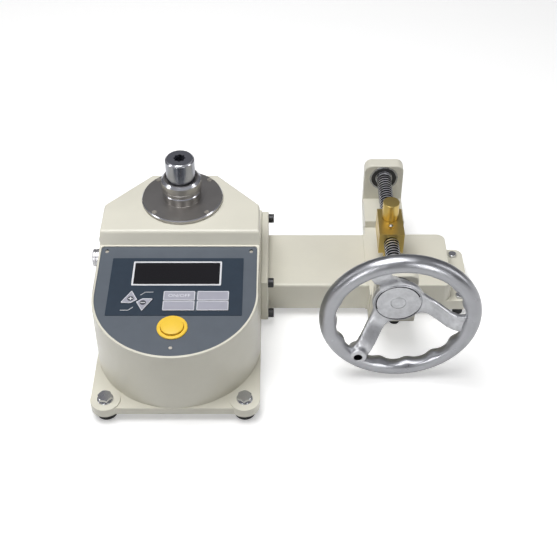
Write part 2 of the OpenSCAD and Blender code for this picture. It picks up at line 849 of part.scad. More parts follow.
module arrow_key(turn) {
    translate([arrow_mid[0], arrow_mid[1], key_float]) rotate([0, 0, turn]) {
        linear_extrude(height = key_t) arrow_outline();
        translate([arrow_stem[0], arrow_stem[1], -stem_len]) rod(stem_r, stem_len + key_t / 2);
    }
}

module power_key() color(key_grey) on_panel() key_at(stem_places[0]);
module clear_key() color(key_grey) on_panel() key_at(stem_places[1]);
module mode_key() color(key_grey) on_panel() key_at(stem_places[2]);
module stat_key() color(key_grey) on_panel() key_at(stem_places[3]);
module up_key() color(key_grey) on_panel() arrow_key(0);
module down_key() color(key_grey) on_panel() arrow_key(180);

module on_button() {
    on_panel() translate([0, up_slope(button_y), 0]) children();
}

module button_bezel() color(yellow) on_button() rotate_extrude($fn = fine_sides) polygon([
    [cap_r + cap_clear, -bezel_thread_len], [bezel_thread_r, -bezel_thread_len], [bezel_thread_r, 0],
    [bezel_r, 0], [bezel_r, bezel_rise - bezel_edge], [bezel_r - bezel_edge, bezel_rise],
    [cap_r + cap_clear, bezel_rise]]);

// Cap with a crowned top, a skirt in the bezel and a plunger below
module start_button() color(yellow) on_button() {
    crown_r = (cap_r * cap_r + cap_crown * cap_crown) / (2 * cap_crown);
    rotate_extrude($fn = fine_sides) intersection() {
        translate([0, -cap_skirt]) square([cap_r, cap_skirt + cap_rise]);
        translate([0, cap_rise - crown_r]) circle(r = crown_r, $fn = 6 * fine_sides);
    }
    translate([0, 0, -cap_skirt - plunger_len]) rod(plunger_r, plunger_len + cap_skirt / 2);
}

module button_nut() color(steel) on_button() translate([0, 0, -panel_t - button_nut_t]) difference() {
    cylinder(h = button_nut_t, r = button_nut_r, $fn = 6);
    bore(bezel_thread_r + seat_clear, button_nut_t);
}

// Sealed switch under the bezel, open at its top for the plunger's travel
module button_switch() color(ink) on_button() translate([0, 0, -bezel_thread_len - switch_h]) difference() {
    round_slab(switch_w, switch_w, switch_h, bevel);
    translate([0, 0, switch_h - button_travel - cap_clear])
        rod(plunger_r + cap_clear, button_travel + cap_clear + overrun);
}

module circuit_board() color(board_green) on_panel() difference() {
    union() {
        translate([0, board_mid, -board_drop - board_t]) round_slab(board_w, board_d, board_t, bevel);
        for (place = stem_places) translate([place[0], place[1], -board_drop])
            rod(tact_r, board_drop + key_float - stem_len - tact_gap);
    }
    standoff_places() translate([0, 0, -board_drop - board_t])
        bore(standoff_r / 2, board_t - overrun);
}

// Digit module that stands on the board behind the window
module display_module() color(ink) on_panel() translate([0, display_mid, -board_drop])
    round_slab(window_w - 2 * frame_bar, window_d - frame_bar, board_drop + glass_rise - glass_t, bevel);

module board_standoffs() color(steel) on_panel() standoff_places() translate([0, 0, -board_drop])
    rod(standoff_r, board_drop - panel_t);

module battery_pack() color(slate) on_table() translate([battery_x, -battery_y, base_top])
    round_slab(battery_w, battery_d, battery_h, 2 * bevel);

module flange_screw_places() {
    for (sx = [-1, 1], sy = [-1, 1]) translate([sx * flange_screw, sy * flange_screw, 0]) children();
}

// Flange on the deck with its boss above and a spigot for the bearing below
module spindle_flange() color(steel) on_table() difference() {
    union() {
        translate([0, 0, deck_z]) rotate_extrude($fn = fine_sides) polygon([[0, 0], [flange_r - bevel / 2, 0],
            [flange_r, bevel / 2], [flange_r, flange_t - bevel / 2], [flange_r - bevel / 2, flange_t],
            [boss_r, flange_t], [boss_r, boss_z - deck_z - bevel / 2],
            [boss_r - bevel / 2, boss_z - deck_z], [0, boss_z - deck_z]]);
        translate([0, 0, spindle_low]) rod(deck_hole_r, spigot_len + bevel / 2);
    }
    translate([0, 0, spindle_low]) bore(anvil_r + part_clear, boss_z - spindle_low);
    translate([0, 0, spindle_low - overrun])
        rod(spindle_bearing_r + seat_clear, spindle_bearing_t + overrun);
    flange_screw_places() translate([0, 0, deck_z]) bore(flange_screw_r + screw_clear, flange_t);
}

module flange_screws() color(dark_steel) on_table() flange_screw_places()
    translate([0, 0, deck_z + flange_t])
        cap_screw(flange_screw_head_r, flange_screw_head_h * 0.35, flange_screw_r, flange_screw_len);

// Loose collar that shields the gap above the boss and turns with the anvil's shoulder
module spindle_collar() color(steel) on_table() difference() {
    union() {
        translate([0, 0, collar_low]) rotate_extrude($fn = fine_sides) polygon([[0, 0],
            [collar_r - bevel / 2, 0], [collar_r, bevel / 2],
            [collar_r, collar_top - collar_low - collar_bevel],
            [collar_r - collar_bevel, collar_top - collar_low], [0, collar_top - collar_low]]);
        translate([0, 0, boss_z + seat_clear]) rod(boss_r - boss_groove, collar_low - boss_z);
    }
    translate([0, 0, boss_z]) bore(neck_r + seat_clear, collar_top - boss_z);
    translate([0, 0, collar_top - collar_bevel])
        rod(collar_bore_r, collar_bevel + overrun);
}

// Anvil with an eight-point socket: two squares turned by an eighth of a circle
module measuring_anvil() color(steel) on_table() difference() {
    rotate_extrude($fn = fine_sides) polygon([[0, anvil_foot_z], [shaft_r, anvil_foot_z],
        [shaft_r, spindle_low], [neck_r - seat_clear, spindle_low],
        [neck_r - seat_clear, collar_top + part_clear], [anvil_r, collar_top + part_clear],
        [anvil_r, anvil_z - bevel], [anvil_r - bevel, anvil_z], [0, anvil_z]]);
    translate([0, 0, anvil_z - drive_depth]) for (turn = [0, 45]) rotate([0, 0, turn])
        translate([-drive / 2, -drive / 2, 0]) cube([drive, drive, drive_depth + overrun]);
}

module spindle_bearing() color(steel) on_table() translate([0, 0, spindle_low])
    ball_bearing(spindle_bearing_r, neck_r + seat_clear, spindle_bearing_t);

// Strain-gauged torsion shaft between the anvil and the anchor
module torsion_shaft() color(bright) on_table() rotate_extrude($fn = fine_sides) polygon([
    [0, base_top + anchor_flange_t / 2], [shaft_r, base_top + anchor_flange_t / 2], [shaft_r, anchor_z + bevel],
    [gauge_r, anchor_z + 3 * bevel], [gauge_r, anvil_foot_z - 6 * bevel],
    [shaft_r, anvil_foot_z - 4 * bevel], [shaft_r, anvil_foot_z], [0, anvil_foot_z]]);

module shaft_anchor() color(dark_steel) on_table() difference() {
    union() {
        translate([0, 0, base_top]) cylinder(h = anchor_flange_t, r = anchor_flange_r, $fn = fine_sides);
        translate([0, 0, base_top]) cylinder(h = anchor_z - base_top, r = anchor_r, $fn = fine_sides);
    }
    translate([0, 0, base_top + anchor_flange_t / 2]) rod(shaft_r + seat_clear, anchor_z);
    anchor_places() translate([0, 0, base_top]) bore(anchor_screw_r + screw_clear, anchor_flange_t);
}

module anchor_screws() color(dark_steel) on_table() anchor_places()
    translate([0, 0, base_top + anchor_flange_t])
        cap_screw(anchor_screw_head_r, anchor_screw_head_h, anchor_screw_r, anchor_flange_t + anchor_screw_in);

// Half width of the body's left wall at a height
function wall_x(z) = low_r - draft_per_mm * (z - base_top);

// Round data socket: shell, nut behind the wall and contact pins
module data_socket() color(steel) on_table() translate([-low_r - socket_out, -socket_y, socket_z])
    along_x() {
        face = low_r + socket_out - wall_x(socket_z) - draft_per_mm * socket_r;
        difference() {
            union() {
                rod(socket_r, face);
                rod(socket_hole_r, face + wall + socket_nut_t + bevel);
                translate([0, 0, face + wall + bevel / 4])
                    cylinder(h = socket_nut_t, r = socket_nut_r, $fn = 6);
            }
            translate([0, 0, -overrun]) rod(socket_bore_r, socket_bore_depth + overrun);
        }
        for (i = [0:pin_count - 1]) rotate([0, 0, 360 / pin_count * i]) translate([pin_circle, 0, pin_recess])
            cylinder(h = socket_bore_depth, r = pin_r, $fn = 16);
    }

module charger_inlet() color(ink) on_table()
    translate([-wall_x(inlet_z) - inlet_out, -inlet_y, inlet_z]) along_x() {
        difference() {
            union() {
                rod(inlet_r, inlet_out - draft_per_mm * inlet_r);
                rod(inlet_r - overrun, inlet_out + wall + 2 * bevel);
            }
            translate([0, 0, -overrun]) rod(inlet_hole_r, inlet_depth + overrun);
        }
        cylinder(h = inlet_depth + overrun, r = pin_r, $fn = 16);
    }

module side_screw() color(dark_steel) on_table()
    translate([-wall_x(side_screw_z) - draft_per_mm * side_screw_r, -side_screw_y, side_screw_z])
        rotate([0, -90, 0]) cross_screw(side_screw_r, side_screw_out, side_shank_r, wall);

module arm_screw_places() {
    for (side = [-1, 1], z = [arm_screw_low, arm_screw_high])
        translate([arm_x, arm_mid + side * arm_screw_y, z]) along_x() children();
}

module arm_flange() color(enamel) on_table() difference() {
    translate([arm_x, arm_mid - arm_flange_d / 2, arm_low])
        cube([arm_flange_t, arm_flange_d, arm_flange_z - arm_low]);
    arm_screw_places() bore(arm_screw_r + screw_clear, arm_flange_t);
}

module arm_flange_screws() color(dark_steel) on_table() arm_screw_places()
    translate([0, 0, arm_flange_t])
        cap_screw(arm_screw_head_r, arm_screw_head_h, arm_screw_r, arm_flange_t + arm_screw_in);

// Section of the arm with round edges, drawn in by inset, standing along Z with z to the right
module arm_section(length, inset, edge) {
    translate([0, arm_mid, (arm_low + arm_top) / 2]) along_x()
        round_slab(arm_top - arm_low - 2 * inset, arm_d - 2 * inset, length, edge);
}

module arm_tube() color(enamel) on_table() difference() {
    translate([arm_start, 0, 0]) arm_section(end_x - arm_start, 0, arm_edge_r);
    translate([arm_start - overrun, 0, 0])
        arm_section(end_x - arm_start + 2 * overrun, arm_wall, arm_edge_r / 2);
}

// Places of the brackets' screws on a pad's outer plane, with z towards the casting
module bracket_screw_places() {
    for (side = [-1, 1]) translate([screw_x + side * bracket_screw_dx, 0, bracket_screw_z]) children();
}

// Box casting with a foot flange and two pads for the brackets, open below
module end_casting() color(enamel) on_table() difference() {
    union() {
        translate([end_x, -arm_front, arm_low])
            linear_extrude(height = arm_top - arm_low) {
                translate([0, 0]) square([end_len - end_corner_r, arm_d]);
                translate([end_len / 2, arm_d / 2]) round_rect(end_len, arm_d, end_corner_r);
            }
        translate([end_x + end_len / 2, arm_mid - arm_d / 2, arm_low])
            linear_extrude(height = end_flange_z - arm_low)
                translate([(end_len / 2 + end_flange) / 2, arm_d / 2])
                    round_rect(end_len / 2 + end_flange, arm_d, end_flange_corner);
        translate([screw_x, -front_bar_y, arm_low]) linear_extrude(height = arm_top - arm_low)
            translate([-pad_w / 2, 0]) square([pad_w, front_pad + end_wall]);
        translate([screw_x, rear_bar_y, arm_low]) linear_extrude(height = arm_top - arm_low)
            translate([-pad_w / 2, -rear_pad - end_wall]) square([pad_w, rear_pad + end_wall]);
        translate([end_x - end_spigot, 0, 0])
            arm_section(end_spigot + overrun, arm_wall + seat_clear, arm_edge_r / 2);
    }
    translate([end_x + end_wall, end_wall - arm_front, arm_low - overrun])
        cube([end_len - 2 * end_wall, arm_d - 2 * end_wall, arm_top - arm_low - end_wall + overrun]);
    bracket_screw_places() {
        translate([0, -front_bar_y, 0]) rotate([-90, 0, 0])
            bore(bracket_screw_r + screw_clear, front_pad + end_wall);
        translate([0, rear_bar_y, 0]) rotate([90, 0, 0])
            bore(bracket_screw_r + screw_clear, rear_pad + end_wall);
    }
    end_foot_places() translate([0, 0, arm_low]) bore(end_bolt_r + screw_clear, end_flange_z - arm_low);
    pad_foot_places() translate([0, 0, arm_low])
        bore(end_bolt_r + seat_clear, end_flange_z - arm_low - overrun);
}

module end_foot_places() {
    for (y = [-end_bolt_front, end_bolt_back]) translate([end_bolt_x, y, 0]) children();
}

module pad_foot_places() {
    for (y = [-front_foot_y, rear_foot_y]) translate([front_foot_x, y, 0]) children();
}

module end_feet() color(rubber) on_table() {
    end_foot_places() difference() {
        rod(end_foot_r, arm_low);
        translate([0, 0, arm_low - end_bolt_in]) rod(end_bolt_r + seat_clear, end_bolt_in + overrun);
    }
    pad_foot_places() difference() {
        rod(end_foot_r, arm_low);
        bore(end_bolt_r + seat_clear, arm_low);
        translate([0, 0, -overrun]) rod(end_bolt_r * 1.6, end_foot_recess + overrun);
    }
}

module end_foot_bolts() color(bright) on_table() {
    end_foot_places() translate([0, 0, end_flange_z])
        hex_bolt(end_bolt_flats, end_bolt_head_h, end_bolt_r, end_flange_z - arm_low + end_bolt_in);
    pad_foot_places() translate([0, 0, end_foot_recess]) mirror([0, 0, 1])
        cap_screw(end_bolt_r * 1.5, end_bolt_r, end_bolt_r, end_flange_z - end_foot_recess - overrun);
}

// Side view of a bracket: x runs out from its pad, y is the height above the table
module bracket_side(bar, low) {
    polygon([[0, low], [bar, ear_low], [bar + ear_t, ear_low], [bar + ear_t, bracket_z],
        [bar, bracket_z], [bar, ledge_z], [0, ledge_z]]);
}

// Bracket that stands out from a pad towards +Y, with its screw bores at the pad
module bracket(bar, low, screw_bore_r) {
    difference() {
        intersection() {
            translate([-bracket_w / 2, 0, 0]) rotate([90, 0, 90])
                linear_extrude(height = bracket_w) bracket_side(bar, low);
            translate([0, bar + ear_t, 0]) rotate([90, 0, 0]) linear_extrude(height = bar + ear_t)
                translate([0, bracket_z / 2]) round_rect(bracket_w, bracket_z, ear_corner);
        }
        for (side = [-1, 1]) translate([side * bracket_screw_dx, 0, bracket_screw_z])
            rotate([-90, 0, 0]) bore(screw_bore_r, bracket_screw_in - overrun);
    }
}

module front_bracket() color(enamel) on_table() difference() {
    translate([screw_x, -front_bar_y, 0]) rotate([0, 0, 180])
        bracket(front_ear - ear_t - front_bar_y, bracket_low, bracket_screw_r + seat_clear);
    translate([screw_x, 0, screw_z]) rotate([90, 0, 0]) {
        translate([0, 0, front_ear - ear_t]) bore(tail_hole_r, ear_t);
        translate([0, 0, front_ear - bearing_t]) rod(bearing_r + seat_clear, bearing_t + overrun);
        translate([0, -rod_drop, front_ear - ear_t]) bore(rod_r + seat_clear, rod_in - overrun);
    }
}

module rear_bracket() color(enamel) on_table() difference() {
    translate([screw_x, rear_bar_y, 0])
        bracket(back_ear - ear_t - rear_bar_y, bracket_low, bracket_screw_r + seat_clear);
    translate([screw_x, back_ear - ear_t, screw_z]) rotate([-90, 0, 0]) {
        bore(tail_hole_r, ear_t);
        translate([0, 0, -overrun]) rod(bearing_r + seat_clear, bearing_t + overrun);
        translate([0, rod_drop, 0]) bore(rod_r + seat_clear, rod_in - overrun);
    }
}

// Screws from inside the end casting through its walls and pads into the brackets
module bracket_screws() color(dark_steel) on_table() bracket_screw_places() {
    translate([0, end_wall - arm_front, 0]) rotate([-90, 0, 0])
        cap_screw(bracket_screw_head_r, bracket_screw_head_h, bracket_screw_r,
            end_wall + front_pad + bracket_screw_in - overrun);
    translate([0, arm_back - end_wall, 0]) rotate([90, 0, 0])
        cap_screw(bracket_screw_head_r, bracket_screw_head_h, bracket_screw_r,
            end_wall + rear_pad + bracket_screw_in - overrun);
}

module front_bearing() color(steel) on_screw(0) translate([0, 0, front_ear - bearing_t])
    ball_bearing(bearing_r, journal_r + run_clear, bearing_t);

module rear_bearing() color(steel) on_screw(back_ear - ear_t) mirror([0, 0, 1])
    ball_bearing(bearing_r, journal_r + run_clear, bearing_t);

// Half section of the lead screw: journals and tails at both ends and thread grooves between
thread_from = screw_end - (back_ear - ear_t) + part_clear;
thread_to = screw_end + front_ear - ear_t - part_clear;
journal_from = thread_from - part_clear - bearing_t;
journal_to = screw_end + front_ear + thrust_collar_t;
groove_count = floor((thread_to - thread_from) / pitch) - 1;
groove_from = thread_from + (thread_to - thread_from - groove_count * pitch) / 2;
thread_root_r = screw_r - pitch * thread_depth_share;

module lead_screw() color(steel) on_screw(screw_end) difference() {
    rotate_extrude($fn = fine_sides) polygon(concat(
        [[0, 0], [tail_r, 0], [tail_r, journal_from], [journal_r, journal_from], [journal_r, thread_from],
            [screw_r, thread_from]],
        [for (i = [0:groove_count - 1]) let (z = groove_from + i * pitch) each [
            [screw_r, z + crest_share / 2 * pitch],
            [thread_root_r, z + (crest_share / 2 + flank_share) * pitch],
            [thread_root_r, z + (1 - crest_share / 2 - flank_share) * pitch],
            [screw_r, z + (1 - crest_share / 2) * pitch]]],
        [[screw_r, thread_to], [journal_r, thread_to], [journal_r, journal_to], [tail_r, journal_to],
            [tail_r, screw_end + tail_end], [0, screw_end + tail_end]]));
    translate([0, 0, screw_end + tail_end - wheel_screw_len])
        rod(wheel_screw_r + seat_clear, wheel_screw_len + overrun);
    translate([-key_size / 2, tail_r - key_size / 2, screw_end + hub_back + bevel])
        cube([key_size, key_size, key_len]);
}

module thrust_collar() color(steel) on_screw(0) translate([0, 0, front_ear + part_clear / 2]) difference() {
    rod(thrust_collar_r, thrust_collar_t);
    bore(journal_r + seat_clear, thrust_collar_t);
}

module screw_end_nut() color(steel) on_screw(back_ear + end_nut_gap + end_nut_t) difference() {
    cylinder(h = end_nut_t, r = end_nut_flats / sqrt(3), $fn = 6);
    bore(tail_r + seat_clear, end_nut_t);
}

// Dished spoke: its side view follows a smooth step from the hub out to the rim
function smooth_step(t) = t * t * (3 - 2 * t);
function spoke_point(t, lift) = [spoke_root_r + t * (rim_mid_r - spoke_root_r),
    hub_len - web_t / 2 - spoke_t / 2 + smooth_step(t) * (rim_plane - hub_len + web_t / 2) + lift];

module spoke() {
    rotate([90, 0, 0]) translate([0, 0, -spoke_w / 2]) linear_extrude(height = spoke_w) polygon(concat(
        [for (i = [0:spoke_steps]) spoke_point(i / spoke_steps, 0)],
        [for (i = [spoke_steps:-1:0]) spoke_point(i / spoke_steps, spoke_t)]));
}

// Handwheel with its back on z = 0 and its dished face towards the front
module handwheel() color(bright) on_screw(-hub_back) difference() {
    union() {
        translate([0, 0, rim_plane]) rotate_extrude($fn = fine_sides)
            translate([rim_mid_r, 0]) circle(r = rim_r, $fn = cut_sides);
        cylinder(h = hub_len - face_rise, r = hub_back_r, $fn = fine_sides);
        translate([0, 0, hub_len - web_t]) cylinder(h = web_t - face_rise, r = web_r, $fn = fine_sides);
        cylinder(h = hub_len, r = hub_face_r, $fn = fine_sides);
        for (i = [0:2]) rotate([0, 0, spoke_angle + 120 * i]) spoke();
        rotate([0, 0, spoke_angle + 120]) translate([handle_at, 0, rim_plane - handle_boss_back])
            rod(handle_boss_r, handle_boss_back + rim_r);
    }
    bore(tail_r + seat_clear, hub_len);
    translate([0, 0, hub_len - wheel_screw_head_h]) rod(wheel_screw_head_r + seat_clear, wheel_screw_head_h + overrun);
    rotate([0, 0, spoke_angle + 120]) translate([handle_at, 0, rim_plane - handle_boss_back])
        bore(handle_hole_r, handle_boss_back + rim_r);
    translate([-key_size / 2 - seat_clear, 0, -overrun])
        cube([key_size + 2 * seat_clear, tail_r + key_size / 2 + seat_clear, bevel + key_len + 2 * overrun]);
}

module wheel_screw() color(steel) on_screw(-hub_front + wheel_screw_head_h)
    cap_screw(wheel_screw_head_r, wheel_screw_head_h, wheel_screw_r, wheel_screw_len - overrun);

module wheel_key() color(dark_steel) on_screw(-hub_back - bevel)
    translate([-key_size / 2, tail_r - key_size / 2, seat_clear])
        cube([key_size, key_size, key_len - 2 * seat_clear]);

// Nut block with its lug round the guide rod; z runs to the front from its back face
module nut_block() color(brass) on_screw(nut_back) difference() {
    union() {
        translate([-nut_w / 2, nut_rise - nut_h, 0]) cube([nut_w, nut_h, nut_len]);
        translate([-lug_w / 2, -rod_drop - rod_r - lug_wall, (nut_len - lug_len) / 2])
            cube([lug_w, rod_drop + lug_wall, lug_len]);
    }
    bore(screw_r + run_clear, nut_len);
    translate([0, -rod_drop, 0]) bore(rod_r + run_clear, nut_len);
    translate([0, nut_rise - post_in, nut_back - post_y]) rotate([-90, 0, 0])
        rod(post_neck_r + seat_clear, post_in + overrun);
    translate([0, nut_rise - oiler_t, nut_back + oiler_y]) rotate([-90, 0, 0])
        rod(oiler_r + seat_clear, oiler_t + overrun);
    translate([0, 0, nut_back + oiler_y]) rotate([-90, 0, 0]) rod(oiler_hole_r, nut_rise);
    translate([-nut_w / 2, -lock_drop, nut_back + lock_y]) rotate([0, 90, 0])
        bore(lock_r + seat_clear, lock_len - overrun);
}

module side_lock_screw() color(brass) on_screw(nut_back)
    translate([-nut_w / 2, -lock_drop, nut_back + lock_y]) rotate([0, -90, 0])
        cross_screw(lock_head_r, lock_head_t, lock_r, lock_len - run_clear);

module ball_oiler() color(steel) on_screw(nut_back)
    translate([0, nut_rise - oiler_t, nut_back + oiler_y]) rotate([-90, 0, 0]) difference() {
        rod(oiler_r, oiler_t + oiler_rise);
        translate([0, 0, oiler_t]) rod(oiler_hole_r, oiler_rise + overrun);
    }

module reaction_post() color(brass) on_table()
    translate([screw_x, post_y, screw_z + nut_rise - post_in + run_clear]) rotate_extrude($fn = fine_sides)
        polygon([[0, 0], [post_neck_r - seat_clear, 0], [post_neck_r - seat_clear, post_in + part_clear],
            [post_r, post_in + part_clear], [post_r, post_in + post_h - bevel / 3],
            [post_r - bevel / 3, post_in + post_h], [0, post_in + post_h]]);

module guide_rod() color(steel) on_screw(back_ear - ear_t + rod_in - seat_clear) translate([0, -rod_drop, 0])
    rod(rod_r, back_ear - ear_t + front_ear - ear_t + 2 * rod_in - 2 * seat_clear);

base_plate();
base_feet();
base_bolts();
body_casting();
casting_screws();
front_panel();
panel_screws();
keypad_film();
display_frame();
display_window();
power_key();
clear_key();
mode_key();
stat_key();
up_key();
down_key();
button_bezel();
start_button();
button_nut();
button_switch();
circuit_board();
display_module();
board_standoffs();
battery_pack();
spindle_flange();
flange_screws();
spindle_collar();
measuring_anvil();
spindle_bearing();
torsion_shaft();
shaft_anchor();
anchor_screws();
data_socket();
charger_inlet();
side_screw();
arm_flange();
arm_flange_screws();
arm_tube();
end_casting();
end_feet();
end_foot_bolts();
front_bracket();
rear_bracket();
bracket_screws();
front_bearing();
rear_bearing();
lead_screw();
thrust_collar();
screw_end_nut();
handwheel();
wheel_screw();
wheel_key();
nut_block();
side_lock_screw();
ball_oiler();
reaction_post();
guide_rod();
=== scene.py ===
"""The looks of a bench torque tester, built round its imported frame.

Sizes are in millimetres, measured from the spindle's axis on the table, as a fitter would read
them off the drawing. Each finished piece is moved into the part's own frame, in metres.
"""

from __future__ import annotations

import json
import logging
import math
from dataclasses import dataclass
from enum import Enum
from typing import Any, Callable, Iterable, Sequence

import bmesh
import bpy
from mathutils import Matrix, Vector

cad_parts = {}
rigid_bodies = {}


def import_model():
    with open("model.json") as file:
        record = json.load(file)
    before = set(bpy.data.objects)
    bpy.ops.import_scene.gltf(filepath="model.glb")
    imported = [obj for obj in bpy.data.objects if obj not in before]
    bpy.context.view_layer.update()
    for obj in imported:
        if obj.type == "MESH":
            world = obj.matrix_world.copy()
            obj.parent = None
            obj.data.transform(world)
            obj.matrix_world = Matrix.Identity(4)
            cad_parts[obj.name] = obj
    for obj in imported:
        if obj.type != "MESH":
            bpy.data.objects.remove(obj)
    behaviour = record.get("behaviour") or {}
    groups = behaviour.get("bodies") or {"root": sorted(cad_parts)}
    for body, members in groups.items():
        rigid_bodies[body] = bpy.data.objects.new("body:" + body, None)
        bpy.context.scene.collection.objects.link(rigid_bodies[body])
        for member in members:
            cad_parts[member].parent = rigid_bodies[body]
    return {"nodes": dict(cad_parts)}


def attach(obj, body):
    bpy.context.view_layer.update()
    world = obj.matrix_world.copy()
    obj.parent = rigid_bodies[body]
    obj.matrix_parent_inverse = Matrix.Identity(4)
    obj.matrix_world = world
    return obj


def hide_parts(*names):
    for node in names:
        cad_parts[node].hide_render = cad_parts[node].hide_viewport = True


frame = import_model()

LOG = logging.getLogger("tester")
MM = 0.001
COAT_ROUGHNESS = 0.12
NOISE_SPAN = (0.3, 0.7)
STROKE_SCALE = 0.03
WHITE = (1.0, 1.0, 1.0, 1.0)
HERE = Matrix.Identity(4)
SHIFT = Vector((-109.0, 59.85, 0.0))
Point = tuple[float, float, float]
Flat = tuple[float, float]
Colour = tuple[float, float, float, float]
Mesh = bmesh.types.BMesh
Edge = bmesh.types.BMEdge
Vert = bmesh.types.BMVert
Tree = bpy.types.NodeTree
Socket = bpy.types.NodeSocket
EdgeTest = Callable[[Edge], bool]


class Grain(Enum):
    """Kinds of fine surface detail that a finish may carry."""

    PEEL = "orange peel of sprayed enamel"
    CAST = "blasted casting skin"
    TURNED = "rings left by a lathe"
    BRUSHED = "fine straight strokes"
    MOULDED = "etched mould texture"


class Axis(Enum):
    """Direction that a turned or brushed finish runs round or along."""

    X = 0
    Y = 1
    Z = 2


def linear(colour: Sequence[float]) -> Colour:
    """Turns a display colour into the linear one that a shader takes.

    Args:
        colour: Red, green and blue from 0 to 255, as seen on a display.

    Returns:
        The linear colour with an alpha of one.
    """
    parts = [c / 255.0 for c in colour]
    out = [p / 12.92 if p <= 0.04045 else ((p + 0.055) / 1.055) ** 2.4 for p in parts]
    return (out[0], out[1], out[2], 1.0)


def to_part(place: Sequence[float]) -> Vector:
    """Moves a place from the drawing's millimetres to the part's metres.

    Args:
        place: The place in millimetres from the spindle's axis on the table.

    Returns:
        The same place in the part's frame.
    """
    return (Vector(place) + SHIFT) * MM


def add_node(tree: Tree, kind: str, values: dict[str | int, Any] | None = None,
             **settings: Any) -> bpy.types.Node:
    """Adds a shader node and fills its inputs.

    Args:
        tree: The nodes to add to.
        kind: The node's type, without its usual prefix.
        values: For each input its value, or the output that is linked to it.
        **settings: The node's own settings.

    Returns:
        The new node.
    """
    node = tree.nodes.new("ShaderNode" + kind)
    for name, value in settings.items():
        setattr(node, name, value)
    for key, value in (values or {}).items():
        if isinstance(value, Socket):
            tree.links.new(value, node.inputs[key])
        else:
            node.inputs[key].default_value = value
    return node


def add_ramp(tree: Tree, share: Socket, stops: Sequence[tuple[float, Colour]]) -> Socket:
    """Adds a ramp between two colours.

    Args:
        tree: The nodes to add to.
        share: The value that picks the colour.
        stops: Place and colour of both ends.

    Returns:
        The picked colour.
    """
    ramp = add_node(tree, "ValToRGB", {"Fac": share})
    for element, (place, colour) in zip(ramp.color_ramp.elements, stops):
        element.position = place
        element.color = colour
    return ramp.outputs["Color"]


@dataclass(frozen=True)
class Finish:
    """A procedural surface finish.

    Attributes:
        name: Name of the material.
        colour: Display colour, 0 to 255.
        grain: Kind of fine detail.
        roughness: Middle roughness.
        metallic: One for bare metal.
        coat: Weight of a clear coat.
        shine: Strength of the reflection of a surface that isn't metal.
        mottle: How far the colour drifts, as a share of itself.
        mottle_mm: Size of that drift.
        grain_mm: Size of the fine detail.
        depth_mm: Depth of the fine detail.
        rough_spread: How far the roughness drifts.
        centre: Place that a turned finish runs round.
        axis: Direction of a turned or brushed finish.
    """

    name: str
    colour: tuple[float, float, float]
    grain: Grain = Grain.MOULDED
    roughness: float = 0.45
    metallic: float = 0.0
    coat: float = 0.0
    shine: float = 0.5
    mottle: float = 0.05
    mottle_mm: float = 30.0
    grain_mm: float = 0.8
    depth_mm: float = 0.02
    rough_spread: float = 0.06
    centre: Point = (0.0, 0.0, 0.0)
    axis: Axis = Axis.Z

    def material(self) -> bpy.types.Material:
        """Makes the material, or finds the one already made.

        Returns:
            The material of this finish.
        """
        known = bpy.data.materials.get(self.name)
        if known is not None and known.get("finish_ready"):
            return known
        made = bpy.data.materials.new(self.name)
        made.use_nodes = True
        made["finish_ready"] = True
        Skin(self, made.node_tree).write()
        return made


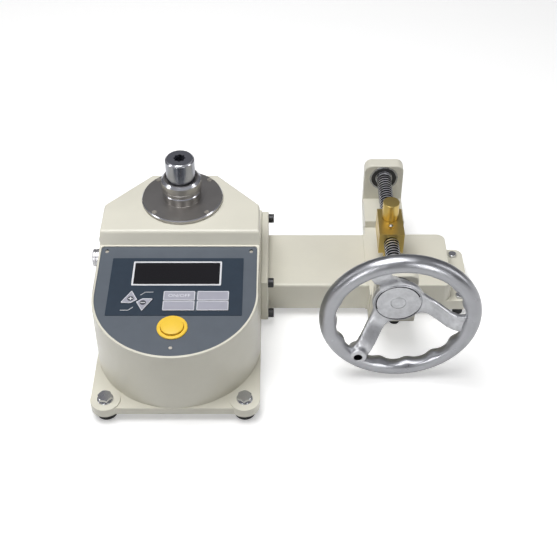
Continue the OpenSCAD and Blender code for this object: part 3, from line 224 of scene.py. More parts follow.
@dataclass
class Skin:
    """Writes a finish into a material's nodes.

    Attributes:
        finish: The finish.
        tree: The material's nodes.
    """

    finish: Finish
    tree: Tree

    def write(self) -> None:
        """Sets the shader's plain values, then its colour, gloss and fine detail."""
        finish = self.finish
        shader = self.tree.nodes["Principled BSDF"]
        for socket, value in (("Metallic", finish.metallic), ("Specular IOR Level", finish.shine),
                              ("Coat Weight", finish.coat), ("Coat Roughness", COAT_ROUGHNESS)):
            shader.inputs[socket].default_value = value
        source = add_node(self.tree, "TexCoord").outputs["Object"]
        shift = add_node(self.tree, "Mapping", {"Vector": source,
                                                "Location": -to_part(finish.centre)})
        place = shift.outputs["Vector"]
        for socket, value in (("Base Color", self._tint(place)), ("Normal", self._engrave(place)),
                              ("Roughness", self._gloss(place))):
            self.tree.links.new(value, shader.inputs[socket])

    def _noise(self, place: Socket, size_mm: float, detail: float) -> Socket:
        """A noise pattern of a given size.

        Args:
            place: Coordinates to read.
            size_mm: Size of the pattern's lumps.
            detail: Number of finer octaves.

        Returns:
            The pattern's value.
        """
        noise = add_node(self.tree, "TexNoise", {"Vector": place, "Scale": 1.0 / (size_mm * MM),
                                                 "Detail": detail, "Roughness": 0.55})
        return noise.outputs["Fac"]

    def _tint(self, place: Socket) -> Socket:
        """Lets the colour drift a little over the surface.

        Args:
            place: Coordinates to read.

        Returns:
            The colour.
        """
        base, drift = linear(self.finish.colour)[:3], self.finish.mottle
        dark = tuple(c * (1.0 - drift) for c in base) + (1.0,)
        light = tuple(min(1.0, c * (1.0 + drift * 0.6)) for c in base) + (1.0,)
        value = self._noise(place, self.finish.mottle_mm, 4.0)
        return add_ramp(self.tree, value, ((0.32, dark), (0.68, light)))

    def _gloss(self, place: Socket) -> Socket:
        """Lets the roughness drift a little over the surface.

        Args:
            place: Coordinates to read.

        Returns:
            The roughness.
        """
        middle, spread = self.finish.roughness, self.finish.rough_spread
        value = self._noise(place, self.finish.mottle_mm * 0.4, 5.0)
        span = add_node(self.tree, "MapRange", {
            "Value": value, "From Min": NOISE_SPAN[0], "From Max": NOISE_SPAN[1],
            "To Min": max(0.03, middle - spread), "To Max": middle + spread})
        return span.outputs["Result"]

    def _engrave(self, place: Socket) -> Socket:
        """Adds the fine detail as a bump.

        Args:
            place: Coordinates to read.

        Returns:
            The bumped normal.
        """
        grain = self.finish.grain
        octaves = {Grain.TURNED: 3.0, Grain.BRUSHED: 3.0, Grain.CAST: 6.0}.get(grain, 2.0)
        if grain is Grain.TURNED:
            place = self._lathe_place(place)
        elif grain is Grain.BRUSHED:
            place = self._stroke_place(place)
        height = self._noise(place, self.finish.grain_mm, octaves)
        bump = add_node(self.tree, "Bump", {"Height": height, "Strength": 1.0,
                                            "Distance": self.finish.depth_mm * MM})
        return bump.outputs["Normal"]

    def _lathe_place(self, place: Socket) -> Socket:
        """Coordinates that change only away from and along the turned axis.

        Args:
            place: Coordinates to read.

        Returns:
            The distance from the axis, and the place along it.
        """
        axis, tree = self.finish.axis.value, self.tree
        parts = add_node(tree, "SeparateXYZ", {"Vector": place}).outputs
        across = [parts[i] for i in range(3) if i != axis]
        flat = add_node(tree, "CombineXYZ", {0: across[0], 1: across[1]}).outputs["Vector"]
        radius = add_node(tree, "VectorMath", {0: flat}, operation="LENGTH").outputs["Value"]
        return add_node(tree, "CombineXYZ", {0: radius, 1: parts[axis]}).outputs["Vector"]

    def _stroke_place(self, place: Socket) -> Socket:
        """Coordinates drawn out along the strokes.

        Args:
            place: Coordinates to read.

        Returns:
            The drawn-out coordinates.
        """
        scale = [1.0, 1.0, 1.0]
        scale[self.finish.axis.value] = STROKE_SCALE
        return add_node(self.tree, "Mapping", {"Vector": place, "Scale": scale}).outputs["Vector"]


SCREW_AXIS: Point = (222.4, 0.0, 83.2)

ENAMEL = Finish("cream_enamel_sprayed", (226, 223, 209), Grain.PEEL, 0.36, coat=0.25, mottle=0.03,
                mottle_mm=45, grain_mm=1.4, depth_mm=0.012, rough_spread=0.05)
SLATE = Finish("slate_enamel", (94, 101, 110), Grain.PEEL, 0.42, shine=0.3, mottle=0.05,
               mottle_mm=18, grain_mm=0.7, depth_mm=0.014)
FILM = Finish("keypad_film_satin", (50, 61, 74), Grain.MOULDED, 0.38, shine=0.2, mottle=0.05,
              mottle_mm=12, grain_mm=0.35, depth_mm=0.006)
KEY_GREY = Finish("key_face_grey", (168, 168, 180), Grain.MOULDED, 0.42, shine=0.35,
                  mottle=0.04, mottle_mm=9, grain_mm=0.4, depth_mm=0.006)
# Pale white for the keys' sides and borders, a painted highlight on their embossed edges, and for
# the printed words on the power key.
KEY_PRINT_AND_EDGE_HIGHLIGHT = Finish("key_print_and_painted_edge_highlight", (226, 227, 234), Grain.MOULDED, 0.40, mottle=0.03)
MARK_WHITE = Finish("printed_white", (228, 229, 233), Grain.MOULDED, 0.45, mottle=0.03)
MARK_DARK = Finish("printed_dark", (44, 48, 56), Grain.MOULDED, 0.45, mottle=0.04)
WINDOW = Finish("smoked_window", (22, 21, 25), Grain.MOULDED, 0.06, shine=0.45, mottle=0.12,
                mottle_mm=40, grain_mm=4, depth_mm=0.002, rough_spread=0.02)
YELLOW = Finish("yellow_button_plastic", (250, 208, 72), Grain.MOULDED, 0.4, shine=0.35,
                mottle=0.03, mottle_mm=10, grain_mm=0.5, depth_mm=0.006)
BLACK_PLASTIC = Finish("black_moulded_plastic", (34, 34, 36), Grain.MOULDED, 0.5, mottle=0.1)
RUBBER = Finish("black_rubber_feet", (30, 30, 31), Grain.MOULDED, 0.75, mottle=0.15, mottle_mm=6,
                grain_mm=0.6, depth_mm=0.04)
CHROME = Finish("bright_plated_steel", (198, 199, 203), Grain.MOULDED, 0.17, 1.0, mottle=0.04,
                mottle_mm=12, grain_mm=3.0, depth_mm=0.002, rough_spread=0.03)
PLATED = Finish("dull_plated_screws", (190, 185, 176), Grain.MOULDED, 0.46, 1.0, mottle=0.06,
                mottle_mm=6, grain_mm=2.0, depth_mm=0.004, rough_spread=0.04)
# Flat dark grey for screw recesses, the handle's hole and the hub's groove: painted shade that
# stands in for the darkness there.
PAINTED_SHADE = Finish("painted_shade_dark", (40, 40, 42), Grain.CAST, 0.7, shine=0.2, mottle=0.1,
                mottle_mm=4, grain_mm=0.8, depth_mm=0.02)
# Near-black for the thread's groove: painted shade between the crests, with a little metal shine.
THREAD_ROOT_SHADE = Finish("painted_thread_root_shade", (26, 25, 25), Grain.TURNED, 0.5, 0.4, mottle=0.08,
                     mottle_mm=12, grain_mm=0.6, depth_mm=0.0008, centre=SCREW_AXIS, axis=Axis.Y)
BLACKED = Finish("blackened_steel", (66, 66, 68), Grain.CAST, 0.42, 0.85, mottle=0.15,
                 mottle_mm=4, grain_mm=0.5, depth_mm=0.01)
SPINDLE_STEEL = Finish("turned_spindle_steel", (166, 163, 160), Grain.TURNED, 0.33, 1.0,
                       mottle=0.04, mottle_mm=24, grain_mm=0.6, depth_mm=0.003, rough_spread=0.02)
ANVIL_STEEL = Finish("ground_anvil_steel", (160, 162, 170), Grain.TURNED, 0.24, 1.0,
                     mottle=0.03, mottle_mm=24, grain_mm=0.6, depth_mm=0.0012, rough_spread=0.015)
# A lighter, smoother copy of the steel for chamfers: painted highlight along the bevels.
BEVEL_HIGHLIGHT = Finish("painted_bevel_highlight", (232, 233, 238), Grain.TURNED, 0.18, 1.0,
                      mottle=0.04, grain_mm=0.2, depth_mm=0.003)
SCREW_STEEL = Finish("lead_screw_steel", (226, 226, 228), Grain.TURNED, 0.36, 1.0, mottle=0.04,
                     mottle_mm=12, grain_mm=0.6, depth_mm=0.0008, centre=SCREW_AXIS, axis=Axis.Y)
GROUND_STEEL = Finish("ground_steel", (176, 177, 180), Grain.TURNED, 0.28, 1.0, mottle=0.08,
                      mottle_mm=8, grain_mm=0.3, depth_mm=0.005, centre=SCREW_AXIS, axis=Axis.Y)
BRASS = Finish("milled_brass", (210, 184, 112), Grain.BRUSHED, 0.31, 1.0, mottle=0.05,
               mottle_mm=24, grain_mm=0.6, depth_mm=0.0012, rough_spread=0.03, axis=Axis.Y)
POLISHED = Finish("polished_wheel_alloy", (170, 171, 175), Grain.CAST, 0.33, 1.0, mottle=0.06,
                  mottle_mm=20, grain_mm=6.0, depth_mm=0.02, rough_spread=0.06)
CAST_ALLOY = Finish("cast_wheel_alloy", (196, 197, 200), Grain.CAST, 0.4, 1.0, mottle=0.14,
                    mottle_mm=6, grain_mm=1.1, depth_mm=0.09, rough_spread=0.12)
SOCKET_ALLOY = Finish("nickel_plated_alloy", (200, 200, 203), Grain.BRUSHED, 0.3, 0.9,
                      mottle=0.08, mottle_mm=4, grain_mm=0.3, depth_mm=0.004)
BOARD = Finish("board_laminate", (28, 92, 58), Grain.MOULDED, 0.4, mottle=0.1)
SLEEVE = Finish("battery_sleeve", (70, 78, 92), Grain.MOULDED, 0.45, mottle=0.06)
IRON = Finish("dark_cast_iron", (84, 84, 86), Grain.CAST, 0.6, 0.6, mottle=0.15, grain_mm=1.2,
              depth_mm=0.06)


def box_block(bm: Mesh, low: Point, high: Point) -> list[Vert]:
    """Adds a square-edged block.

    Args:
        bm: The mesh to add to.
        low: Lowest corner.
        high: Highest corner.

    Returns:
        The block's vertices.
    """
    size = [h - l for l, h in zip(low, high)]
    mid = [(h + l) / 2 for l, h in zip(low, high)]
    place = Matrix.Translation(mid) @ Matrix.Diagonal((*size, 1.0))
    return bmesh.ops.create_cube(bm, size=1.0, matrix=place)["verts"]


def turned(bm: Mesh, profile: Sequence[Flat], matrix: Matrix, segments: int = 96) -> None:
    """Spins a profile of radius and height round its own Z axis.

    Args:
        bm: The mesh to add to.
        profile: Pairs of radius and height, from one end to the other.
        matrix: Where the spun piece goes.
        segments: Steps of the full turn.
    """
    scratch = bmesh.new()
    verts = [scratch.verts.new((r, 0.0, h)) for r, h in profile]
    edges = [scratch.edges.new(pair) for pair in zip(verts, verts[1:])]
    bmesh.ops.spin(scratch, geom=verts + edges, cent=(0, 0, 0), axis=(0, 0, 1), dvec=(0, 0, 0),
                   angle=math.tau, steps=segments, use_merge=True)
    bmesh.ops.remove_doubles(scratch, verts=scratch.verts, dist=0.0005)
    bmesh.ops.recalc_face_normals(scratch, faces=scratch.faces)
    bmesh.ops.transform(scratch, matrix=matrix, verts=scratch.verts)
    absorb(bm, scratch)


def absorb(bm: Mesh, other: Mesh) -> None:
    """Moves the content of one mesh into another.

    Args:
        bm: The mesh to add to.
        other: The mesh that is taken in and freed.
    """
    held = bpy.data.meshes.new("held")
    other.to_mesh(held)
    other.free()
    bm.from_mesh(held)
    bpy.data.meshes.remove(held)


def verts_of(geom: Iterable[Any]) -> list[Vert]:
    """Picks the vertices out of what an operator gives back."""
    return [g for g in geom if isinstance(g, Vert)]


def slice_off(bm: Mesh, place: Sequence[float], normal: Sequence[float],
              clear: bool = True, near: float = 0.0001) -> list[Edge]:
    """Cuts a mesh along a plane.

    Args:
        bm: The mesh.
        place: A place on the plane.
        normal: The plane's normal.
        clear: Whether what lies beyond the plane goes.
        near: How near a vertex must be to count as on the plane.

    Returns:
        The edges along the cut.
    """
    cut = bmesh.ops.bisect_plane(bm, geom=bm.verts[:] + bm.edges[:] + bm.faces[:], dist=near,
                                 plane_co=place, plane_no=normal, clear_outer=clear)
    return [g for g in cut["geom_cut"] if isinstance(g, Edge)]


def raise_flat(bm: Mesh, height: float) -> list[Vert]:
    """Makes a solid from a flat outline.

    Args:
        bm: The outline, which grows.
        height: How high it is raised.

    Returns:
        The raised vertices.
    """
    grown = verts_of(bmesh.ops.extrude_face_region(bm, geom=bm.faces[:])["geom"])
    bmesh.ops.translate(bm, vec=(0, 0, height), verts=grown)
    return grown


def paint(bm: Mesh, slot: int, test: Callable[[float, float, float], bool]) -> None:
    """Gives a material slot to some faces of a piece turned round the Z axis.

    Args:
        bm: The mesh.
        slot: The material slot.
        test: Picks them by distance from the axis, height and rise of the normal.
    """
    for face in bm.faces:
        middle = face.calc_center_median()
        if test(middle.xy.length, middle.z, face.normal.z):
            face.material_index = slot


def soften(bm: Mesh, width: float, segments: int, test: EdgeTest | None = None,
           degrees: float = 40.0) -> None:
    """Bevels the sharp edges of a mesh.

    Args:
        bm: The mesh.
        width: Width of the bevel.
        segments: Steps across the bevel.
        test: Picks among the sharp edges.
        degrees: Edges that turn by less than this stay.
    """
    limit = math.radians(degrees)
    edges = [e for e in bm.edges if len(e.link_faces) == 2 and e.calc_face_angle(0.0) > limit
             and (test is None or test(e))]
    bmesh.ops.bevel(bm, geom=edges, offset=width, offset_type="OFFSET", segments=segments,
                    profile=0.5, affect="EDGES", clamp_overlap=True, material=-1)


def from_node(node: str) -> Mesh:
    """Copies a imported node's mesh, merges it and gives it back in millimetres.

    Args:
        node: Name of the node.

    Returns:
        A new mesh with whole flat faces.
    """
    bm = bmesh.new()
    bm.from_mesh(frame["nodes"][node].data)
    bmesh.ops.scale(bm, vec=(1 / MM,) * 3, verts=bm.verts)
    bmesh.ops.translate(bm, vec=-SHIFT, verts=bm.verts)
    bmesh.ops.remove_doubles(bm, verts=bm.verts, dist=0.002)
    bmesh.ops.dissolve_limit(bm, angle_limit=math.radians(0.6), verts=bm.verts, edges=bm.edges,
                             use_dissolve_boundaries=False)
    for face in bm.faces:
        face.material_index = 0
    return bm


def shade(bm: Mesh, degrees: float) -> None:
    """Smooths the faces and keeps the edges that turn by more than an angle.

    Args:
        bm: The mesh.
        degrees: Edges that turn by more stay sharp.
    """
    limit = math.radians(degrees)
    for face in bm.faces:
        face.smooth = True
    for edge in bm.edges:
        edge.smooth = len(edge.link_faces) == 2 and edge.calc_face_angle(0.0) <= limit


def hang(name: str, data: bpy.types.ID) -> bpy.types.Object:
    """Puts an object into the scene.

    Args:
        name: Name of the object.
        data: Its mesh, curve, lamp or camera.

    Returns:
        The new object.
    """
    made = bpy.data.objects.new(name, data)
    bpy.context.scene.collection.objects.link(made)
    return made


def hang_mesh(name: str, bm: Mesh) -> bpy.types.Object:
    """Puts a mesh into the scene.

    Args:
        name: Name of the object and of its mesh.
        bm: The mesh, which is freed.

    Returns:
        The new object.
    """
    mesh = bpy.data.meshes.new(name)
    bm.to_mesh(mesh)
    bm.free()
    return hang(name, mesh)


def settled(thing: bpy.types.Object, *tools: bpy.types.Object) -> Mesh:
    """Takes an object's shape with its modifiers applied, and clears the object away.

    Args:
        thing: The object.
        *tools: Other objects that go with it.

    Returns:
        The shape as a new mesh.
    """
    bpy.context.view_layer.update()
    graph = bpy.context.evaluated_depsgraph_get()
    done = bpy.data.meshes.new_from_object(thing.evaluated_get(graph))
    out = bmesh.new()
    out.from_mesh(done)
    bpy.data.meshes.remove(done)
    for gone in (thing, *tools):
        bpy.data.batch_remove([gone.data, gone])
    return out


def carve(bm: Mesh, cutter: Mesh, operation: str = "DIFFERENCE") -> Mesh:
    """Cuts one closed mesh with another, or joins the two.

    Args:
        bm: The mesh that is cut, which is freed.
        cutter: The mesh that cuts, which is freed.
        operation: DIFFERENCE, UNION or INTERSECT.

    Returns:
        The new mesh.
    """
    target, tool = hang_mesh("carve_target", bm), hang_mesh("carve_tool", cutter)
    modifier = target.modifiers.new("carve", "BOOLEAN")
    modifier.object = tool
    modifier.operation = operation
    modifier.solver = "EXACT"
    return settled(target, tool)


def publish(bm: Mesh, name: str, finishes: Sequence[Finish],
            node: str = "", body: str = "tester", degrees: float = 30.0,
            weighted: bool = True) -> None:
    """Turns a mesh in millimetres into a finished piece of the scene.

    Args:
        bm: The mesh, which is freed.
        name: Name of the piece.
        finishes: Its finishes, in the order of its material slots.
        node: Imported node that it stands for, if any.
        body: The body that it rides on.
        degrees: Edges that turn by more stay sharp.
        weighted: Whether flat faces keep their own normals.
    """
    shade(bm, degrees)
    bmesh.ops.translate(bm, vec=SHIFT, verts=bm.verts)
    bmesh.ops.scale(bm, vec=(MM,) * 3, verts=bm.verts)
    piece = hang_mesh(name, bm)
    for finish in finishes:
        piece.data.materials.append(finish.material())
    if weighted:
        piece.modifiers.new("flat_normals", "WEIGHTED_NORMAL").keep_sharp = True
    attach(piece, body)
    if node:
        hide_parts(node)
    LOG.info("%s: %d faces", name, len(piece.data.polygons))


def finish_node(node: str, name: str, finish: Finish, width: float = 0.0,
                segments: int = 2, test: EdgeTest | None = None, body: str = "tester",
                degrees: float = 38.0) -> None:
    """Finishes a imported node's own shape, with its sharp edges rounded.

    Args:
        node: Name of the node.
        name: Name of the piece.
        finish: Its finish.
        width: Width of the bevel, or zero for none.
        segments: Steps across the bevel.
        test: Picks among the sharp edges.
        body: The body that it rides on.
        degrees: Edges that turn by more stay sharp.
    """
    bm = from_node(node)
    if width > 0:
        soften(bm, width, segments, test)
    publish(bm, name, [finish], node, body, degrees)


def dress(node: str, finish: Finish) -> None:
    """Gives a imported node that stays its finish.

    Args:
        node: Name of the node.
        finish: Its finish.
    """
    slots = frame["nodes"][node].data.materials
    slots.clear()
    slots.append(finish.material())


def standing(x: float, y: float, z: float) -> Matrix:
    """Place of a piece whose own Z points up."""
    return Matrix.Translation((x, y, z))


def facing(x: float, y: float, z: float) -> Matrix:
    """Place of a piece whose own Z points to the front and whose Y points up."""
    return Matrix.Translation((x, y, z)) @ Matrix.Rotation(math.pi / 2, 4, "X")


def pointing_right(x: float, y: float, z: float) -> Matrix:
    """Place of a piece whose own Z points to the right."""
    return Matrix.Translation((x, y, z)) @ Matrix.Rotation(math.pi / 2, 4, "Y")


def pointing_left(x: float, y: float, z: float) -> Matrix:
    """Place of a piece whose own Z points to the left."""
    return Matrix.Translation((x, y, z)) @ Matrix.Rotation(-math.pi / 2, 4, "Y")


@dataclass(frozen=True)
class Fastener:
    """A screw or bolt whose head stands on its own z = 0.

    Attributes:
        head_r: Radius of the head, or half the width across its corners.
        head_h: Height of the head.
        shank_r: Radius of the shank.
        shank_len: Length of the shank.
        washer_r: Radius of a washer, or zero.
        washer_t: Thickness of that washer.
    """

    head_r: float
    head_h: float
    shank_r: float
    shank_len: float
    washer_r: float = 0.0
    washer_t: float = 0.0

    def socket_cap(self, bm: Mesh, place: Matrix) -> None:
        """Adds a round head with a hexagon socket.

        Args:
            bm: The mesh to add to.
            place: Where the piece goes.
        """
        r, h, edge = self.head_r, self.head_h, self.head_h * 0.1
        key = self.head_r * 0.5
        turned(bm, [(0, 0), (r - edge / 2, 0), (r, edge / 2), (r, h - edge), (r - edge, h),
                    (key * 1.12, h), (key * 0.96, h - edge / 2)], place, 32)
        turned(bm, [(key * 0.96, h - edge / 2), (key * 0.96, h * 0.5), (0, h * 0.45)], place, 6)
        self._shank(bm, place)

    def hexagon(self, bm: Mesh, place: Matrix) -> None:
        """Adds a hexagon head with a chamfered top, and a washer under it.

        Args:
            bm: The mesh to add to.
            place: Where the piece goes.
        """
        base = self.washer_t
        r, h = self.head_r, self.head_h
        if self.washer_r > 0:
            w, t = self.washer_r, self.washer_t
            turned(bm, [(0, 0), (w - 0.2, 0), (w, 0.2), (w, t - 0.3), (w - 0.3, t), (0, t)],
                   place, 40)
        head = bmesh.new()
        bmesh.ops.create_cone(head, cap_ends=True, segments=6, radius1=r, radius2=r, depth=h - base)
        bmesh.ops.translate(head, vec=(0, 0, base + (h - base) / 2), verts=head.verts)
        crown = bmesh.new()
        slope = r * 0.13
        turned(crown, [(0, base - 1), (r * 1.01, base - 1), (r * 1.01, h - slope * 0.7),
                       (r * 0.88, h), (0, h)], HERE, 48)
        head = carve(head, crown, "INTERSECT")
        bmesh.ops.transform(head, matrix=place, verts=head.verts)
        absorb(bm, head)
        self._shank(bm, place)

    def cross_head(self, bm: Mesh, place: Matrix) -> None:
        """Adds a low domed head with a cross recess, whose faces take the second slot: painted
        shade in the recess.

        Args:
            bm: The mesh to add to.
            place: Where the piece goes.
        """
        r, h = self.head_r, self.head_h
        head = bmesh.new()
        turned(head, [(0, 0), (r, 0), (r, h * 0.25), (r * 0.93, h * 0.6), (r * 0.72, h * 0.88),
                      (r * 0.4, h), (0, h)], HERE, 36)
        tool = bmesh.new()
        for angle in (0.0, math.pi / 2):
            arm = box_block(tool, (-r * 0.6, -r * 0.18, h * 0.15), (r * 0.6, r * 0.18, h * 2))
            bmesh.ops.rotate(tool, cent=(0, 0, 0), verts=arm,
                             matrix=Matrix.Rotation(angle + 0.5, 3, "Z"))
        head = carve(head, tool)
        # The recess's faces take the second slot, a dark painted shade in the cross.
        paint(head, 1, lambda radius, height, rise: radius < r * 0.62
              and (height < h * 0.3 or abs(rise) < 0.2))
        bmesh.ops.transform(head, matrix=place, verts=head.verts)
        absorb(bm, head)
        self._shank(bm, place)

    def _shank(self, bm: Mesh, place: Matrix) -> None:
        """Adds the plain shank below the head.

        Args:
            bm: The mesh to add to.
            place: Where the piece goes.
        """
        r, length = self.shank_r, self.shank_len
        turned(bm, [(0, -length), (r * 0.8, -length), (r, -length + r * 0.3), (r, 0.05),
                    (0, 0.05)], place, 24)


@dataclass
class Base:
    """The base plate with its rubber feet, corner bolts and screws from below.

    Attributes:
        top: Height of the plate's top.
        pad_rise: Height of its pads over that.
        bolt_x: Distance of the bolts from the middle.
        bolt_y: Places of the bolts along the plate.
        bolt: The corner bolt.
        hole_clear: How near a hole the plate's edge stays sharp.
    """

    top: float = 19.0
    pad_rise: float = 1.6
    bolt_x: float = 69.0
    bolt_y: tuple[float, float] = (-200.5, 30.0)
    bolt: Fastener = Fastener(7.5, 5.3, 4.0, 17.4, 8.06, 1.4)
    hole_clear: float = 8.0

    def build(self) -> None:
        """Makes the plate, its bolts and its feet."""
        finish_node("base_plate", "base_plate_enamelled", ENAMEL, 1.1, 3,
                    lambda e: min(v.co.z for v in e.verts) > self.top - 0.05
                    and all(self._rim(v.co) for v in e.verts))
        bolts = bmesh.new()
        for i, x in enumerate((-self.bolt_x, self.bolt_x)):
            for k, y in enumerate(self.bolt_y):
                turn = Matrix.Rotation(0.35 + 0.6 * i + 0.9 * k, 4, "Z")
                self.bolt.hexagon(bolts, standing(x, y, self.top + self.pad_rise) @ turn)
        publish(bolts, "corner_bolts", [CHROME], "base_bolts")
        finish_node("base_feet", "rubber_feet", RUBBER, 1.2, 3,
                    lambda e: max(v.co.z for v in e.verts) < 0.1)
        dress("casting_screws", BLACKED)

    def _rim(self, place: Vector) -> bool:
        """Whether a place lies on the plate's outer top edge, clear of the holes.

        Args:
            place: A vertex's place.

        Returns:
            True where the edge may be rounded.
        """
        corner = min(math.hypot(place.x - sx * self.bolt_x, place.y - y)
                     for sx in (-1, 1) for y in self.bolt_y)
        return corner > self.hole_clear


@dataclass
class Sloped:
    """Something that lies on or along the panel's sloping plane.

    Attributes:
        nose: Distance of the nose's middle from the spindle.
        face: Height of the plane there.
        tilt: Tilt of the plane in degrees.
    """

    nose: float = 127.1
    face: float = 94.3
    tilt: float = 3.0

    def on_panel(self, x: float = 0.0, y: float = 0.0, z: float = 0.0) -> Matrix:
        """Place on the plane, measured from the nose's middle."""
        return (Matrix.Translation((0, -self.nose, self.face))
                @ Matrix.Rotation(math.radians(self.tilt), 4, "X") @ Matrix.Translation((x, y, z)))


@dataclass
class Casting(Sloped):
    """The body casting: round nose, sloping front, deck and the seat for the arm.

    Attributes:
        low_r: Half width at the foot.
        top_r: Half width at the deck.
        foot: Height of its foot.
        deck: Height of its deck.
        rim_w: Width of the rim round the panel.
        rim_rise: Height of the rim over the panel.
        panel_t: Thickness of the panel.
        ledge: Width of the ledge under the panel.
        wall: Thickness of the walls.
        back: Distance of its back from the spindle.
        back_half: Half width of its back.
        corner: Where the slanted corners begin.
        deck_front: Where the deck's front edge lies.
        band_foot: Where the slanted band's foot lies.
        seat: Height of the arm's seat.
        seat_front: Front end of that seat.
        ear_front: Front end of the ear behind it.
        ear_back: Back end of that ear.
        ear_foot: Height of the ear's foot.
        deck_hole: Radius of the deck's hole.
    """

    low_r: float = 84.0
    top_r: float = 82.5
    foot: float = 19.0
    deck: float = 112.7
    rim_w: float = 2.1
    rim_rise: float = 0.8
    panel_t: float = 2.0
    ledge: float = 9.0
    wall: float = 5.0
    back: float = 42.0
    back_half: float = 35.8
    corner: float = 10.8
    deck_front: float = 52.1
    band_foot: float = 58.8
    seat: float = 67.3
    seat_front: float = -82.6
    ear_front: float = -24.0
    ear_back: float = 36.9
    ear_foot: float = 32.0
    deck_hole: float = 33.05

    def build(self) -> None:
        """Makes the casting."""
        bm = self._plan(0.0, self.foot, self.deck)
        self._cut_front(bm)
        self._soften(bm)
        bm = carve(bm, self._hollow())
        bm = carve(bm, self._seat(), "UNION")
        publish(bm, "body_casting_enamelled", [ENAMEL], "body_casting", degrees=32)

    def _slope(self, y: float, rise: float) -> float:
        """Height of a plane that lies parallel to the panel's face."""
        return self.face + (y + self.nose) * math.tan(math.radians(self.tilt)) + rise

    def _plan(self, inset: float, foot: float, top: float) -> Mesh:
        """A block with the body's plan, drawn in by inset, with its draft.

        Args:
            inset: How far the plan is drawn in.
            foot: Height of the block's foot.
            top: Height of the block's top.

        Returns:
            The closed block.
        """
        bm = bmesh.new()
        shares = [(z - self.foot) / (self.deck - self.foot) for z in (foot, top)]
        r_low, r_top = (self.low_r - inset - (self.low_r - self.top_r) * a for a in shares)
        bmesh.ops.create_circle(bm, cap_ends=True, radius=r_low, segments=192,
                                matrix=Matrix.Translation((0, -self.nose, foot)))
        slice_off(bm, (0, -self.nose, foot), (0, 1, 0))
        across = self.back_half - (self.low_r - r_low) * 0.4
        for y, half in ((-self.corner - inset * 0.4, r_low), (self.back - inset, across)):
            last = max(v.co.y for v in bm.verts)
            edge = [e for e in bm.edges if all(abs(v.co.y - last) < 0.001 for v in e.verts)]
            for vert in verts_of(bmesh.ops.extrude_edge_only(bm, edges=edge)["geom"]):
                vert.co.y = y
                vert.co.x = math.copysign(half, vert.co.x)
        inner = [e for e in bm.edges if len(e.link_faces) == 2]
        bmesh.ops.dissolve_edges(bm, edges=inner, use_verts=False)
        ratio = r_top / r_low
        for vert in raise_flat(bm, top - foot):
            if vert.co.y < -self.nose + 0.01:
                vert.co.x *= ratio
                vert.co.y = -self.nose + (vert.co.y + self.nose) * ratio
            elif abs(vert.co.x) > r_low - 0.5:
                vert.co.x = math.copysign(r_top, vert.co.x)
                vert.co.y += r_low - r_top
        bmesh.ops.recalc_face_normals(bm, faces=bm.faces)
        return bm

    def _cut_front(self, bm: Mesh) -> None:
        """Cuts the front down to the rim's plane and closes it with the band.

        Args:
            bm: The casting's block.
        """
        tilt = math.radians(self.tilt)
        rim_co = Vector((0, -self.nose, self.face + self.rim_rise))
        rim_no = Vector((0, -math.sin(tilt), math.cos(tilt)))
        foot_z = self._slope(-self.band_foot, self.rim_rise)
        along = Vector((0, self.band_foot - self.deck_front, self.deck - foot_z))
        band_co = Vector((0, -self.deck_front, self.deck))
        band_no = Vector((0, -along.z, along.y)).normalized()
        for co, no in ((rim_co, rim_no), (band_co, band_no)):
            slice_off(bm, co, no, clear=False, near=0.0005)
        gone = [f for f in bm.faces if (f.calc_center_median() - rim_co).dot(rim_no) > 0.01
                and (f.calc_center_median() - band_co).dot(band_no) > 0.01]
        bmesh.ops.delete(bm, geom=gone, context="FACES")
        on_rim = [v for v in bm.verts if abs((v.co - rim_co).dot(rim_no)) < 0.01]
        on_band = [v for v in bm.verts if abs((v.co - band_co).dot(band_no)) < 0.01]
        both = [v for v in on_rim if v in on_band]
        bm.edges.new(both[:2])
        for group in (on_rim, on_band):
            held = set(group)
            edges = [e for e in bm.edges if e.verts[0] in held and e.verts[1] in held
                     and len(e.link_faces) < 2]
            bmesh.ops.contextual_create(bm, geom=edges)
        bmesh.ops.recalc_face_normals(bm, faces=bm.faces)

    def _soften(self, bm: Mesh) -> None:
        """Rounds the casting's outer edges.

        Args:
            bm: The casting.
        """
        def upper(edge: Edge) -> bool:
            """Picks the deck's edges, the band's sides and the slanted corners.

            Args:
                edge: The edge.

            Returns:
                True where the edge is rounded.
            """
            high = all(v.co.z > self.deck - 0.05 for v in edge.verts)
            a, b = edge.verts[0].co, edge.verts[1].co
            upright = abs(a.x - b.x) + abs(a.y - b.y) < 6 and abs(a.z - b.z) > 10
            return high or (upright and min(a.y, b.y) > -self.corner - 1)
        soften(bm, 3.0, 4, upper, 20)

        def rim(edge: Edge) -> bool:
            """Picks the rim's outer edge."""
            return all(abs(v.co.z - self._slope(v.co.y, self.rim_rise)) < 0.02
                       and v.co.y < -self.band_foot - 0.05 for v in edge.verts)
        soften(bm, 0.8, 3, rim, 20)

